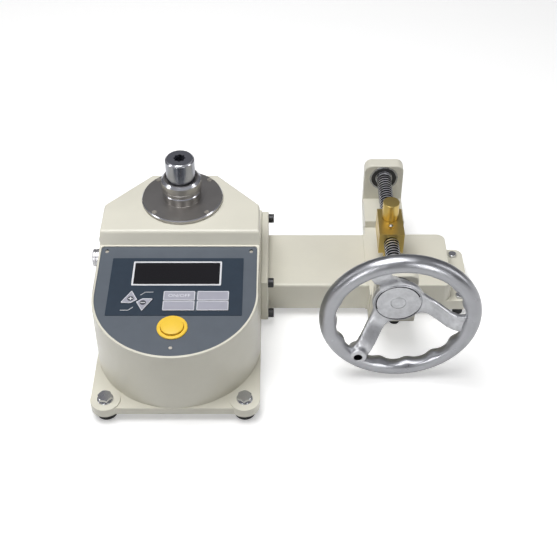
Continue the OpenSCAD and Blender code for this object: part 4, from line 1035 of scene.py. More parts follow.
    def _pocket(self, inset: float, low: float, high: float) -> Mesh:
        """A block with the panel's outline between two heights over its plane.

        Args:
            inset: How far the outline is drawn in.
            low: Lower height.
            high: Upper height.

        Returns:
            The closed block.
        """
        half = self.top_r - self.rim_w - inset
        back = (self.nose - self.band_foot - self.rim_w) / math.cos(math.radians(self.tilt)) - inset
        bm = bmesh.new()
        bmesh.ops.create_circle(bm, cap_ends=True, radius=half, segments=192)
        slice_off(bm, (0, 0, 0), (0, 1, 0))
        edge = [e for e in bm.edges if all(abs(v.co.y) < 0.001 for v in e.verts)]
        ends = verts_of(bmesh.ops.extrude_edge_only(bm, edges=edge)["geom"])
        for vert in ends:
            vert.co.y = back
        bmesh.ops.bevel(bm, geom=ends, offset=3.0, offset_type="OFFSET", segments=6, profile=0.5,
                        affect="VERTICES", clamp_overlap=True, material=-1)
        bmesh.ops.dissolve_edges(bm, edges=[e for e in bm.edges if len(e.link_faces) == 2],
                                 use_verts=False)
        bmesh.ops.translate(bm, vec=(0, 0, low), verts=bm.verts)
        raise_flat(bm, high - low)
        bmesh.ops.recalc_face_normals(bm, faces=bm.faces)
        bmesh.ops.transform(bm, matrix=self.on_panel(), verts=bm.verts)
        return bm

    def _hollow(self) -> Mesh:
        """The space inside the casting: cavity, panel recess, its opening and the deck's hole.

        Returns:
            The space as one solid.
        """
        cavity = self._plan(self.wall, self.foot - 2, self.face - 14)
        high = bmesh.new()
        box_block(high, (-self.back_half, -self.deck_front + 2, self.face - 20),
                  (self.back_half, self.back - self.wall, self.deck - self.wall))
        tool = carve(cavity, high, "UNION")
        tool = carve(tool, self._pocket(self.ledge, -20, 0.5), "UNION")
        tool = carve(tool, self._pocket(-0.2, -self.panel_t, 5.0), "UNION")
        hole = bmesh.new()
        turned(hole, [(0, 90), (self.deck_hole, 90), (self.deck_hole, 120), (0, 120)], HERE)
        return carve(tool, hole, "UNION")

    def _seat(self) -> Mesh:
        """The flat seat for the arm's flange with the ear behind it.

        Returns:
            The seat as a solid.
        """
        seat = bmesh.new()
        box_block(seat, (self.low_r - 10, self.seat_front, self.foot + 0.01),
                  (self.low_r - 0.01, -self.corner - 1, self.seat))
        ear = bmesh.new()
        box_block(ear, (self.low_r - 12, self.ear_front, self.ear_foot),
                  (self.low_r - 0.01, self.ear_back, self.seat))
        seat = carve(seat, ear, "UNION")
        bmesh.ops.dissolve_limit(seat, angle_limit=0.02, verts=seat.verts, edges=seat.edges)
        soften(seat, 1.2, 3, lambda e: max(v.co.z for v in e.verts) > self.ear_foot - 1
               and max(v.co.x for v in e.verts) > self.low_r - 0.1)
        return seat


@dataclass
class Panel(Sloped):
    """The front panel with its film, display, keys and screws.

    Attributes:
        key_w: Width of a plain key.
        key_d: Depth of a plain key.
        key_low: Height of the keys' feet over the panel.
        key_t: Height of a key.
        columns: Places of the plain keys across the panel.
        rows: Places of the plain keys along the panel.
        arrows: Middle between the arrow keys.
        arrows_w: Width of both arrow keys together.
        arrows_d: Depth of both arrow keys together.
        film_top: Height of the film over the panel.
        screws: Places of the panel's screws.
        screw: The panel's screw.
    """

    key_w: float = 31.2
    key_d: float = 12.4
    key_low: float = 0.5
    key_t: float = 0.9
    columns: tuple[float, float] = (4.25, 37.75)
    rows: tuple[float, float] = (-3.614, -16.814)
    arrows: Flat = (-37.3, -10.214)
    arrows_w: float = 31.5
    arrows_d: float = 26.8
    film_top: float = 0.5
    screws: tuple[Flat, ...] = ((-74.4, 59.075), (74.4, 59.075), (0.0, -69.9))
    screw: Fastener = Fastener(3.75, 1.6, 1.75, 6.0)

    def build(self) -> None:
        """Makes the panel and everything that lies on it."""
        finish_node("front_panel", "slate_front_panel", SLATE, 0.35)
        finish_node("keypad_film", "keypad_film_satin", FILM, 0.15)
        finish_node("display_frame", "display_bezel", MARK_WHITE, 0.3)
        finish_node("display_window", "display_glass", WINDOW, 0.2)
        self._screws()
        self._keys()
        self._arrows()
        self._line()
        dress("display_module", BLACK_PLASTIC)
        dress("circuit_board", BOARD)
        dress("board_standoffs", BRASS)
        dress("battery_pack", SLEEVE)

    def _screws(self) -> None:
        """The three screws that hold the panel."""
        bm = bmesh.new()
        for x, y in self.screws:
            self.screw.cross_head(bm, self.on_panel(x, y, 0))
        publish(bm, "panel_screws_plated", [PLATED, PAINTED_SHADE], "panel_screws")

    def _cap(self, bm: Mesh, outline: Mesh, height: float, border: float, matrix: Matrix) -> None:
        """Raises a key's cap from its outline, with pale sides and a pale border round a sunk face,
        painted as the highlight of the embossed edge.

        Args:
            bm: The mesh to add to.
            outline: The key's flat outline, which is freed.
            height: The cap's height.
            border: Width of the pale border, a painted edge highlight.
            matrix: Where the cap goes.
        """
        bmesh.ops.recalc_face_normals(outline, faces=outline.faces)
        raise_flat(outline, height)
        bmesh.ops.recalc_face_normals(outline, faces=outline.faces)
        # All faces take the pale second slot first: painted highlight on the cap's sides and
        # border.
        for face in outline.faces:
            face.material_index = 1
        top = [f for f in outline.faces if f.normal.z > 0.9]
        bmesh.ops.inset_region(outline, faces=top, thickness=border, use_even_offset=True)
        bmesh.ops.inset_region(outline, faces=top, thickness=0.2, depth=-0.1, use_even_offset=True)
        for face in top:
            face.material_index = 0
        soften(outline, 0.18, 2, lambda e: all(v.co.z > height - 0.02 for v in e.verts)
               and any(f.normal.z < 0.2 for f in e.link_faces), 60)
        bmesh.ops.transform(outline, matrix=matrix, verts=outline.verts)
        absorb(bm, outline)

    def _stem(self, bm: Mesh, matrix: Matrix) -> None:
        """Adds the stem that runs through the panel to the switch."""
        turned(bm, [(0, -6.0), (1.7, -6.0), (2.0, -5.7), (2.0, 0.2), (0, 0.2)], matrix, 24)

    def _keys(self) -> None:
        """The four plain keys."""
        names = ("power_key", "clear_key", "mode_key", "stat_key")
        places = [(x, y) for y in self.rows for x in self.columns]
        for name, (x, y) in zip(names, places):
            bm = bmesh.new()
            outline = bmesh.new()
            bmesh.ops.create_grid(outline, x_segments=1, y_segments=1, size=0.5,
                                  matrix=Matrix.Diagonal((self.key_w, self.key_d, 1, 1)))
            bmesh.ops.bevel(outline, geom=outline.verts[:], offset=1.2, offset_type="OFFSET",
                            segments=5, profile=0.5, affect="VERTICES", clamp_overlap=True,
                            material=-1)
            self._cap(bm, outline, self.key_t, 0.55, self.on_panel(x, y, self.key_low))
            self._stem(bm, self.on_panel(x, y, self.key_low))
            publish(bm, name + "_cap", [KEY_GREY, KEY_PRINT_AND_EDGE_HIGHLIGHT], name, body=name)
        x, y = places[0]
        self._letters("ON/OFF", 5.4, self.on_panel(x, y, self.key_low + self.key_t - 0.1))

    def _letters(self, words: str, size: float, matrix: Matrix) -> None:
        """Prints plain words on a key.

        Args:
            words: The words.
            size: Height of the line.
            matrix: Where they go.
        """
        curve = bpy.data.curves.new("switch_words", "FONT")
        curve.body = words
        curve.size = size
        curve.align_x = "CENTER"
        curve.align_y = "CENTER"
        curve.extrude = 0.03
        curve.resolution_u = 3
        bm = settled(hang("switch_words_curve", curve))
        bmesh.ops.remove_doubles(bm, verts=bm.verts, dist=0.0005)
        bmesh.ops.scale(bm, vec=(1.12, 1.0, 1.0), verts=bm.verts)
        bmesh.ops.transform(bm, matrix=matrix, verts=bm.verts)
        publish(bm, "power_key_words", [KEY_PRINT_AND_EDGE_HIGHLIGHT], body="power_key", weighted=False)

    def _arrows(self) -> None:
        """The two arrow keys with a plus and a minus."""
        shares = ((-0.19, 0.5), (-0.5, -0.1), (-0.18, -0.111), (0.011, 0.057))
        for name, turn in (("up_key", 0.0), ("down_key", math.pi)):
            bm = bmesh.new()
            outline = bmesh.new()
            verts = [outline.verts.new((x * self.arrows_w, y * self.arrows_d, 0))
                     for x, y in shares]
            outline.faces.new(verts)
            bmesh.ops.bevel(outline, geom=[verts[0], verts[1]], offset=0.8, offset_type="OFFSET",
                            segments=4, profile=0.5, affect="VERTICES", clamp_overlap=True,
                            material=-1)
            middle = self.on_panel(*self.arrows, self.key_low) @ Matrix.Rotation(turn, 4, "Z")
            self._cap(bm, outline, self.key_t, 0.5, middle)
            aside = -0.2 * self.arrows_w
            self._stem(bm, middle @ Matrix.Translation((aside, 0.06 * self.arrows_d, 0)))
            mark = bmesh.new()
            turned(mark, [(0, 0), (3.1, 0), (3.1, 0.06), (0, 0.06)], HERE, 40)
            bars = box_block(mark, (-2.2, -0.5, 0), (2.2, 0.5, 0.1))
            if name == "up_key":
                bars += box_block(mark, (-0.5, -2.2, 0), (0.5, 2.2, 0.11))
            for vert in bars:
                for face in vert.link_faces:
                    face.material_index = 1
            bmesh.ops.transform(mark, verts=mark.verts, matrix=middle
                                @ Matrix.Translation((aside, 0.1 * self.arrows_d,
                                                      self.key_t - 0.1))
                                @ Matrix.Rotation(-turn, 4, "Z"))
            for face in mark.faces:
                face.material_index += 2
            absorb(bm, mark)
            publish(bm, name + "_cap", [KEY_GREY, KEY_PRINT_AND_EDGE_HIGHLIGHT, MARK_DARK, MARK_WHITE],
                    name, body=name)

    def _line(self) -> None:
        """The thin white line that runs between the arrow keys and out to both sides."""
        bm = bmesh.new()
        z, x0, y0 = self.film_top, self.arrows[0], self.arrows[1]
        route = ((-15.2, -12.1), (-7.5, -12.1), (-3.1, -8.1))
        mirrored = tuple((-x, -y) for x, y in route)
        for points in (route, mirrored):
            for (ax, ay), (bx, by) in zip(points, points[1:]):
                length = math.hypot(bx - ax, by - ay)
                turn = math.atan2(by - ay, bx - ax)
                strip = bmesh.new()
                box_block(strip, (-0.2, -0.28, -0.02), (length + 0.2, 0.28, 0.05))
                place = self.on_panel(x0 + ax, y0 + ay, z) @ Matrix.Rotation(turn, 4, "Z")
                bmesh.ops.transform(strip, verts=strip.verts, matrix=place)
                absorb(bm, strip)
        publish(bm, "film_line", [MARK_WHITE], weighted=False)


@dataclass
class StartButton(Sloped):
    """The yellow start button with its bezel, nut and switch.

    Attributes:
        place: Distance of the button from the spindle.
        cap_r: Radius of the cap.
        cap_rise: Height of the cap's top over the panel.
        bezel_r: Radius of the bezel.
        bezel_rise: Height of the bezel over the panel.
        barrel_r: Radius of the bezel's barrel in the panel.
        foot: Height of the feet of cap and bezel from the panel.
    """

    place: float = 171.8
    cap_r: float = 11.1
    cap_rise: float = 4.8
    bezel_r: float = 15.0
    bezel_rise: float = 1.6
    barrel_r: float = 12.6
    foot: float = -9.0

    def build(self) -> None:
        """Makes the bezel and the cap."""
        slope = (self.nose - self.place) / math.cos(math.radians(self.tilt))
        spot = self.on_panel(y=slope)
        r, h, inner = self.bezel_r, self.bezel_rise, self.cap_r + 0.3
        barrel, foot = self.barrel_r, self.foot
        ring = bmesh.new()
        turned(ring, [(inner, foot), (barrel, foot), (barrel, 0.0), (r - 0.2, 0.0), (r, 0.2),
                      (r, h - 0.85), (r - 0.2, h - 0.5), (r - 0.6, h - 0.22),
                      (r - 1.2, h - 0.06), (r - 1.8, h), (inner + 0.5, h),
                      (inner + 0.15, h - 0.15), (inner, h - 0.5), (inner, foot)], spot, 96)
        publish(ring, "button_bezel_moulded", [YELLOW], "button_bezel",
                degrees=40)
        cap = bmesh.new()
        rise = self.cap_rise
        turned(cap, [(0, foot), (3.7, foot), (4.0, foot + 0.3), (4.0, -4.0), (self.cap_r, -4.0),
                     (self.cap_r, rise - 1.6), (self.cap_r - 0.2, rise - 1.3),
                     (self.cap_r - 0.7, rise - 1.05), (8.0, rise - 0.6), (5.0, rise - 0.24),
                     (2.5, rise - 0.06), (0, rise)], spot, 96)
        publish(cap, "start_button_cap", [YELLOW], "start_button",
                body="start_button", degrees=40)
        dress("button_nut", BLACK_PLASTIC)
        dress("button_switch", BLACK_PLASTIC)


@dataclass
class Spindle:
    """The measuring spindle: flange, boss, collar and anvil.

    Attributes:
        deck: Height of the casting's deck.
        flange_r: Radius of the flange.
        flange_t: Thickness of the flange.
        boss_r: Radius of the boss.
        boss_z: Height of the boss's top.
        collar_r: Radius of the collar.
        collar_low: Height of the collar's foot.
        collar_top: Height of the collar's top.
        anvil_r: Radius of the anvil.
        anvil_z: Height of the anvil's top.
        bevel: Width of the anvil's bevel.
        drive: Width of the square drive.
        drive_depth: Depth of the drive's socket.
        spigot_r: Radius of the flange's spigot in the deck.
        spigot_low: Height of its foot from the deck.
        bearing_r: Radius of the bearing's seat in it.
        collar_bore: Radius of the collar's upper bore.
        neck_r: Radius of the collar's neck.
        screw_at: Distance of the screws from both middle lines.
        screw: The flange's screw.
    """

    deck: float = 112.7
    flange_r: float = 43.0
    flange_t: float = 4.2
    boss_r: float = 20.0
    boss_z: float = 126.4
    collar_r: float = 21.0
    collar_low: float = 127.3
    collar_top: float = 142.5
    anvil_r: float = 15.25
    anvil_z: float = 166.7
    bevel: float = 1.8
    drive: float = 9.55
    drive_depth: float = 14.0
    spigot_r: float = 33.0
    spigot_low: float = -11.0
    bearing_r: float = 27.05
    collar_bore: float = 16.75
    neck_r: float = 18.5
    screw_at: float = 27.6
    screw: Fastener = Fastener(2.75, 1.05, 1.5, 9.0)

    def build(self) -> None:
        """Makes the visible spindle and dresses what is inside."""
        self._flange()
        self._collar()
        self._anvil()
        screws = bmesh.new()
        for x, y in self._corners():
            self.screw.socket_cap(screws, standing(x, y, self.deck + self.flange_t - 0.6))
        publish(screws, "flange_screws_set", [PLATED], "flange_screws")
        dress("spindle_bearing", GROUND_STEEL)
        dress("torsion_shaft", ANVIL_STEEL)
        dress("shaft_anchor", IRON)
        dress("anchor_screws", BLACKED)

    def _corners(self) -> list[Flat]:
        """Places of the flange's four screws."""
        return [(x, y) for x in (-self.screw_at, self.screw_at)
                for y in (-self.screw_at, self.screw_at)]

    def _flange(self) -> None:
        """The flange with its counterbored screw holes and the boss."""
        f, t, b, z = self.flange_r, self.flange_t, self.boss_r, self.boss_z - self.deck
        bm = bmesh.new()
        inner, seat, spigot, low = (self.anvil_r + 0.3, self.bearing_r, self.spigot_r,
                                    self.spigot_low)
        turned(bm, [(inner, 1.05), (seat, 1.05), (seat, low), (spigot, low), (spigot, 0.0),
                    (f - 0.9, 0.0), (f, 0.9), (f, t - 0.9), (f - 0.9, t), (b + 0.8, t),
                    (b + 0.2, t + 0.15), (b, t + 0.7), (b, z - 0.9), (b - 0.9, z), (inner, z),
                    (inner, 1.05)], standing(0, 0, self.deck), 160)
        # The top chamfers of flange and boss take the second slot: painted highlight along the
        # bevels.
        paint(bm, 1, lambda radius, height, rise: rise > 0.3
              and (radius > f - 0.9 or (b - 0.9 < radius < b and height > 125)))
        tools = bmesh.new()
        for x, y in self._corners():
            turned(tools, [(0, t - 1.1), (3.1, t - 1.1), (3.1, t + 1), (0, t + 1)],
                   standing(x, y, self.deck), 32)
        bm = carve(bm, tools)
        publish(bm, "spindle_flange_turned", [SPINDLE_STEEL, BEVEL_HIGHLIGHT],
                "spindle_flange", degrees=25)

    def _collar(self) -> None:
        """The loose collar above the boss."""
        c, low, top = self.collar_r, self.collar_low, self.collar_top
        bore, seat, neck = self.collar_bore, self.anvil_r - 0.55, self.neck_r
        bm = bmesh.new()
        turned(bm, [(seat, self.boss_z + 0.05), (neck, self.boss_z + 0.05), (neck, low),
                    (c - 0.8, low), (c, low + 0.8), (c, low + 4.6), (c - 0.35, low + 4.8),
                    (c - 0.35, low + 5.3), (c, low + 5.5), (c, top - 2.5), (c - 2.5, top),
                    (bore + 0.3, top), (bore, top - 0.3), (bore, top - 2.5), (seat, top - 2.5),
                    (seat, self.boss_z + 0.05)], HERE, 160)
        # The collar's lower and upper chamfers take the second slot: painted highlight along the
        # bevels.
        paint(bm, 1, lambda radius, height, rise: low < height < low + 0.8 and rise < -0.3
              or height > top - 2.5 and radius > c - 2.5 and 0.3 < rise < 0.95)
        publish(bm, "spindle_collar_turned", [SPINDLE_STEEL, BEVEL_HIGHLIGHT],
                "spindle_collar", degrees=25)

    def _anvil(self) -> None:
        """The anvil with its star-shaped drive socket."""
        r, z, edge = self.anvil_r, self.anvil_z, self.bevel
        bm = bmesh.new()
        turned(bm, [(0, 84.0), (10, 84.0), (10, 101.7), (r - 0.65, 101.7),
                    (r - 0.65, self.collar_top + 0.3), (r, self.collar_top + 0.3), (r, z - edge),
                    (r - edge * 0.3, z - edge * 0.55), (r - edge, z), (0, z)], HERE, 160)
        # The anvil's top bevel takes the second slot: painted highlight along the bevel.
        paint(bm, 1, lambda radius, height, rise: height > z - edge and radius > r - edge
              and rise < 0.97)
        half = self.drive / 2
        star = bmesh.new()
        box_block(star, (-half, -half, z - self.drive_depth), (half, half, z + 1))
        other = bmesh.new()
        turn = Matrix.Rotation(math.pi / 4, 3, "Z")
        verts = box_block(other, (-half, -half, z - self.drive_depth), (half, half, z + 1))
        bmesh.ops.rotate(other, cent=(0, 0, 0), matrix=turn, verts=verts)
        bm = carve(bm, carve(star, other, "UNION"))
        publish(bm, "measuring_anvil_ground", [ANVIL_STEEL, BEVEL_HIGHLIGHT],
                "measuring_anvil", degrees=25)


@dataclass
class SideFittings:
    """The data socket, the charger inlet and the small screw on the left wall.

    Attributes:
        wall: Distance of the wall's foot from the middle.
        socket: Place and height of the data socket.
        socket_out: How far it stands out.
        pins: Number of its pins.
        pin_at: Distance of the pins from its middle.
        inlet: Place and height of the charger inlet.
        inlet_out: How far it stands out of the wall.
        inlet_draft: How far the wall has drawn in at its height.
        screw_place: Where the small screw sits.
        screw: The small screw.
    """

    wall: float = 84.0
    socket: Flat = (-52.0, 75.0)
    socket_out: float = 9.0
    pins: int = 5
    pin_at: float = 3.6
    inlet: Flat = (-33.6, 85.0)
    inlet_out: float = 4.5
    inlet_draft: float = 1.056
    screw_place: Point = (-83.0, -99.6, 84.5)
    screw: Fastener = Fastener(3.2, 2.2, 1.5, 5.0)

    def build(self) -> None:
        """Makes the three fittings."""
        self._socket()
        self._inlet()
        bm = bmesh.new()
        self.screw.cross_head(bm, pointing_left(*self.screw_place))
        publish(bm, "side_screw_blacked", [BLACKED, PAINTED_SHADE], "side_screw")

    def _socket(self) -> None:
        """The round data socket with its pins."""
        place = pointing_right(-self.wall - self.socket_out, *self.socket)
        bm = bmesh.new()
        turned(bm, [(0, 6.0), (6.4, 6.0), (6.4, 0.4), (6.8, 0.0), (8.4, 0.0), (9.2, 0.8),
                    (9.2, 3.0), (8.7, 3.3), (8.7, 3.9), (9.2, 4.2), (9.2, 9.7), (7.5, 9.7),
                    (7.5, 19.0), (0, 19.0)], place, 64)
        for i in range(self.pins):
            angle = math.tau / self.pins * i
            spot = place @ Matrix.Translation((self.pin_at * math.cos(angle),
                                               self.pin_at * math.sin(angle), 0))
            turned(bm, [(0, 2.3), (0.55, 2.4), (0.8, 2.9), (0.8, 6.1), (0, 6.1)], spot, 16)
        nut = bmesh.new()
        bmesh.ops.create_cone(nut, cap_ends=True, segments=6, radius1=10.5, radius2=10.5, depth=2.5,
                              matrix=place @ Matrix.Translation((0, 0, 16.6)))
        absorb(bm, nut)
        publish(bm, "data_socket_shell", [SOCKET_ALLOY], "data_socket")

    def _inlet(self) -> None:
        """The charger inlet with its centre pin."""
        place = pointing_right(-self.wall + self.inlet_draft - self.inlet_out, *self.inlet)
        bm = bmesh.new()
        turned(bm, [(0, 3.6), (2.75, 3.6), (2.75, 0.3), (3.0, 0.0), (3.7, 0.0), (4.2, 0.5),
                    (4.2, 4.4), (3.2, 4.4), (3.2, 13.0), (0, 13.0)], place, 40)
        turned(bm, [(0, 0.3), (0.5, 0.4), (0.8, 0.8), (0.8, 3.7), (0, 3.7)], place, 16)
        publish(bm, "charger_inlet_moulded", [BLACK_PLASTIC], "charger_inlet")


@dataclass
class Arm:
    """The side arm: flange, tube, end casting, feet and fixings.

    Attributes:
        start: Place of the flange's seat.
        flange_t: Thickness of the flange.
        top: Height of the end casting's top.
        flange_top: Height of the end casting's feet.
        screws: Places of the flange's screws, along the part and up.
        foot_bolts: Places of the bolts through the feet.
        under: Places of the screws that hold the rubber feet.
        under_z: Height of their heads.
        hole_clear: How near a screw's hole edges stay sharp.
        bolt_clear: How near a bolt's hole they do.
        screw: The flange's screw.
        bolt: The feet's bolt.
        under_screw: The screw of a rubber foot.
    """

    start: float = 84.0
    flange_t: float = 7.5
    top: float = 45.5
    flange_top: float = 21.8
    screws: tuple[Flat, ...] = ((-74.2, 14.75), (-74.2, 59.4), (31.0, 14.75), (31.0, 59.4))
    foot_bolts: tuple[Flat, ...] = ((299.5, -56.2), (299.5, 10.1))
    under: tuple[Flat, ...] = ((228.6, -71.5), (228.6, 26.4))
    under_z: float = 4.0
    hole_clear: float = 4.5
    bolt_clear: float = 3.5
    screw: Fastener = Fastener(5.0, 6.0, 3.0, 15.5)
    bolt: Fastener = Fastener(4.62, 3.5, 2.5, 18.0)
    under_screw: Fastener = Fastener(3.75, 2.5, 2.5, 16.8)

    def build(self) -> None:
        """Makes the arm."""
        finish_node("arm_flange", "arm_flange_enamelled", ENAMEL, 1.2, 3,
                    self._away_from_holes)
        self._screws()
        finish_node("arm_tube", "arm_tube_enamelled", ENAMEL, degrees=25)
        end = from_node("end_casting")
        soften(end, 2.6, 4, lambda e: all(v.co.z > self.top - 0.05 for v in e.verts))
        soften(end, 1.4, 3, lambda e: all(abs(v.co.z - self.flange_top) < 0.05
                                              and v.co.x > 288 for v in e.verts)
               and all(self._clear_of_bolt(v.co) for v in e.verts))
        publish(end, "end_casting_enamelled", [ENAMEL], "end_casting", degrees=38)
        finish_node("end_feet", "end_rubber_feet", RUBBER)
        bolts = bmesh.new()
        for (x, y), turn in zip(self.foot_bolts, (0.3, 0.8)):
            place = standing(x, y, self.flange_top) @ Matrix.Rotation(turn, 4, "Z")
            self.bolt.hexagon(bolts, place)
        for x, y in self.under:
            place = standing(x, y, self.under_z) @ Matrix.Rotation(math.pi, 4, "X")
            self.under_screw.socket_cap(bolts, place)
        publish(bolts, "end_foot_bolts_plated", [CHROME], "end_foot_bolts")
        dress("bracket_screws", BLACKED)

    def _screws(self) -> None:
        """The four socket screws of the arm's flange."""
        bm = bmesh.new()
        for y, z in self.screws:
            self.screw.socket_cap(bm, pointing_right(self.start + self.flange_t, y, z))
        publish(bm, "arm_flange_screws_blacked", [BLACKED], "arm_flange_screws")

    def _away_from_holes(self, edge: Edge) -> bool:
        """Whether an edge is no edge of a screw hole."""
        return all(math.hypot(v.co.y - y, v.co.z - z) > self.hole_clear
                   for v in edge.verts for y, z in self.screws)

    def _clear_of_bolt(self, place: Vector) -> bool:
        """Whether a place is no edge of a foot's bolt hole."""
        return all(math.hypot(place.x - x, place.y - y) > self.bolt_clear
                   for x, y in self.foot_bolts)


@dataclass
class OnScrew:
    """Something that is built round the lead screw.

    Attributes:
        x: Place of the screw's axis.
        z: Height of the screw's axis.
        rod_drop: How far the guide rod lies below it.
    """

    x: float = SCREW_AXIS[0]
    z: float = SCREW_AXIS[2]
    rod_drop: float = 21.9

    def along(self, y: float) -> Matrix:
        """Place on the screw's axis whose own Z points to the front."""
        return facing(self.x, y, self.z)

    def from_axis(self, place: Vector, drop: float = 0.0) -> float:
        """Distance of a place from the screw's axis, or from a line below it."""
        return math.hypot(place.x - self.x, place.z - self.z + drop)


@dataclass
class Loader(OnScrew):
    """Brackets, bearings, guide rod and lead screw.

    Attributes:
        front_ear: Distance of the front ear's face from the spindle.
        back_ear: Distance of the back ear's face from the spindle.
        ear_t: Thickness of an ear.
        bearing_r: Radius of a bearing.
        bearing_t: Thickness of a bearing.
        bore_r: Radius of a bearing's bore.
        pitch: Pitch of the thread.
        screw_r: Radius of the thread.
        thread: Where the thread begins and ends.
        neck_r: Radius of the screw's necks in the bearings.
        tail_r: Radius of the screw's tails.
        front_neck: Where the front neck ends.
        front_tail: Where the front tail ends.
        back_neck: Where the back neck ends.
        back_tail: Where the back tail ends.
        nut_at: Where the end nut's inner face lies.
        ear_screws: Distance of the brackets' screws from the axis, and their height.
        seats: Where the brackets lie on the end casting.
        bearing_clear: How near the axis edges stay sharp.
        rod_clear: How near the guide rod they do.
        screw_clear: How near a bracket's screw they do.
        nut: The end nut.
    """

    front_ear: float = 108.0
    back_ear: float = 87.9
    ear_t: float = 14.5
    bearing_r: float = 16.0
    bearing_t: float = 9.0
    bore_r: float = 7.55
    pitch: float = 4.0
    screw_r: float = 8.0
    thread: Flat = (-73.1, 93.2)
    neck_r: float = 7.5
    tail_r: float = 6.0
    back_neck: float = -82.4
    back_tail: float = -95.8
    front_neck: float = 109.7
    front_tail: float = 125.5
    nut_at: float = 88.3
    ear_screws: Flat = (13.0, 31.0)
    seats: Flat = (-77.5, 32.4)
    bearing_clear: float = 16.6
    rod_clear: float = 4.6
    screw_clear: float = 3.8
    nut: Fastener = Fastener(10.39, 6.0, 5.0, 1.0)

    def build(self) -> None:
        """Makes the loader's fixed pieces and its screw."""
        for side in ("front", "rear"):
            finish_node(side + "_bracket", side + "_bracket_enamelled", ENAMEL,
                        1.8, 3, self._outer_edge)
        self._bearing("front_bearing", self.along(-self.front_ear + self.bearing_t))
        self._bearing("rear_bearing", self.along(self.back_ear - self.ear_t + self.bearing_t))
        dress("guide_rod", GROUND_STEEL)
        self._screw()
        finish_node("thrust_collar", "thrust_collar_turned", GROUND_STEEL, 0.3,
                    body="screw", degrees=25)
        self._nut()

    def _outer_edge(self, edge: Edge) -> bool:
        """Whether an edge is one of a bracket's outer ones, clear of its bores.

        Args:
            edge: The edge.

        Returns:
            True where the edge may be rounded.
        """
        for vert in edge.verts:
            c = vert.co
            near_bore = (self.from_axis(c) < self.bearing_clear
                         or self.from_axis(c, self.rod_drop) < self.rod_clear)
            aside, up = abs(c.x - self.x) - self.ear_screws[0], c.z - self.ear_screws[1]
            near_screw = max(abs(aside), abs(up)) < self.screw_clear
            if near_bore or near_screw or min(abs(c.y - y) for y in self.seats) < 0.1:
                return False
        return True

    def _bearing(self, name: str, place: Matrix) -> None:
        """A sealed ball bearing whose outer face lies at z = 9 of its place.

        Args:
            name: Name of the bearing's node.
            place: Where the piece goes.
        """
        r, t, b = self.bearing_r, self.bearing_t, self.bore_r
        bm = bmesh.new()
        turned(bm, [(b + 0.3, 0), (b + 1.9, 0), (b + 1.9, 0.4), (r - 1.9, 0.4), (r - 1.9, 0),
                    (r - 0.3, 0), (r, 0.3), (r, t - 0.3), (r - 0.3, t), (r - 1.9, t),
                    (r - 1.9, t - 0.4), (b + 1.9, t - 0.4), (b + 1.9, t), (b + 0.3, t),
                    (b, t - 0.3), (b, 0.3), (b + 0.3, 0)], place, 96)
        for face in bm.faces:
            if b + 1.9 < self.from_axis(face.calc_center_median()) < r - 1.9:
                face.material_index = 1
        publish(bm, name + "_sealed", [GROUND_STEEL, BLACK_PLASTIC], name,
                degrees=25)

    def _screw(self) -> None:
        """The lead screw with its helical thread, journals and tails."""
        bm = bmesh.new()
        p, r, tail = self.pitch, self.screw_r, self.tail_r
        length = self.thread[1] - self.thread[0]
        root, steps = r - p / 2, 40
        turns = int(length / p) + 2
        thread = bmesh.new()
        profile = [(r, 0.0), (r, 0.366 * p), (root, 0.5 * p), (root, 0.866 * p), (r, p)]
        verts = [thread.verts.new((rad, 0, h)) for rad, h in profile]
        edges = [thread.edges.new(pair) for pair in zip(verts, verts[1:])]
        bmesh.ops.spin(thread, geom=verts + edges, cent=(0, 0, 0), axis=(0, 0, 1),
                       dvec=(0, 0, p / steps), angle=math.tau * turns, steps=steps * turns,
                       use_merge=False)
        bmesh.ops.remove_doubles(thread, verts=thread.verts, dist=0.001)
        for height, way in ((p, -1), (p + length, 1)):
            ring = slice_off(thread, (0, 0, height), (0, 0, way))
            bmesh.ops.holes_fill(thread, edges=ring, sides=0)
        bmesh.ops.recalc_face_normals(thread, faces=thread.faces)
        bmesh.ops.translate(thread, vec=(0, 0, -p), verts=thread.verts)
        bmesh.ops.transform(thread, matrix=self.along(-self.thread[0]), verts=thread.verts)
        # Faces deep in the groove take the second slot: near-black painted shade between the
        # crests.
        for face in thread.faces:
            deep = self.from_axis(face.calc_center_median()) < r - p / 8
            face.material_index = 1 if deep else 0
        absorb(bm, thread)
        for way, end, neck, tip in ((-1, self.thread[0], self.back_neck, self.back_tail),
                                    (1, self.thread[1], self.front_neck, self.front_tail)):
            start = end - way * 0.1
            turned(bm, [(0, start), (self.neck_r, start), (self.neck_r, neck), (tail, neck),
                        (tail, tip - way * 0.5), (tail - 0.5, tip), (0, tip)], self.along(0), 64)
        publish(bm, "lead_screw_threaded", [SCREW_STEEL, THREAD_ROOT_SHADE],
                "lead_screw", body="screw", degrees=25, weighted=False)

    def _nut(self) -> None:
        """The hexagon nut on the screw's back end."""
        bm = bmesh.new()
        self.nut.hexagon(bm, self.along(self.nut_at) @ Matrix.Rotation(math.pi, 4, "X"))
        publish(bm, "screw_end_nut_plated", [CHROME], "screw_end_nut",
                body="screw")


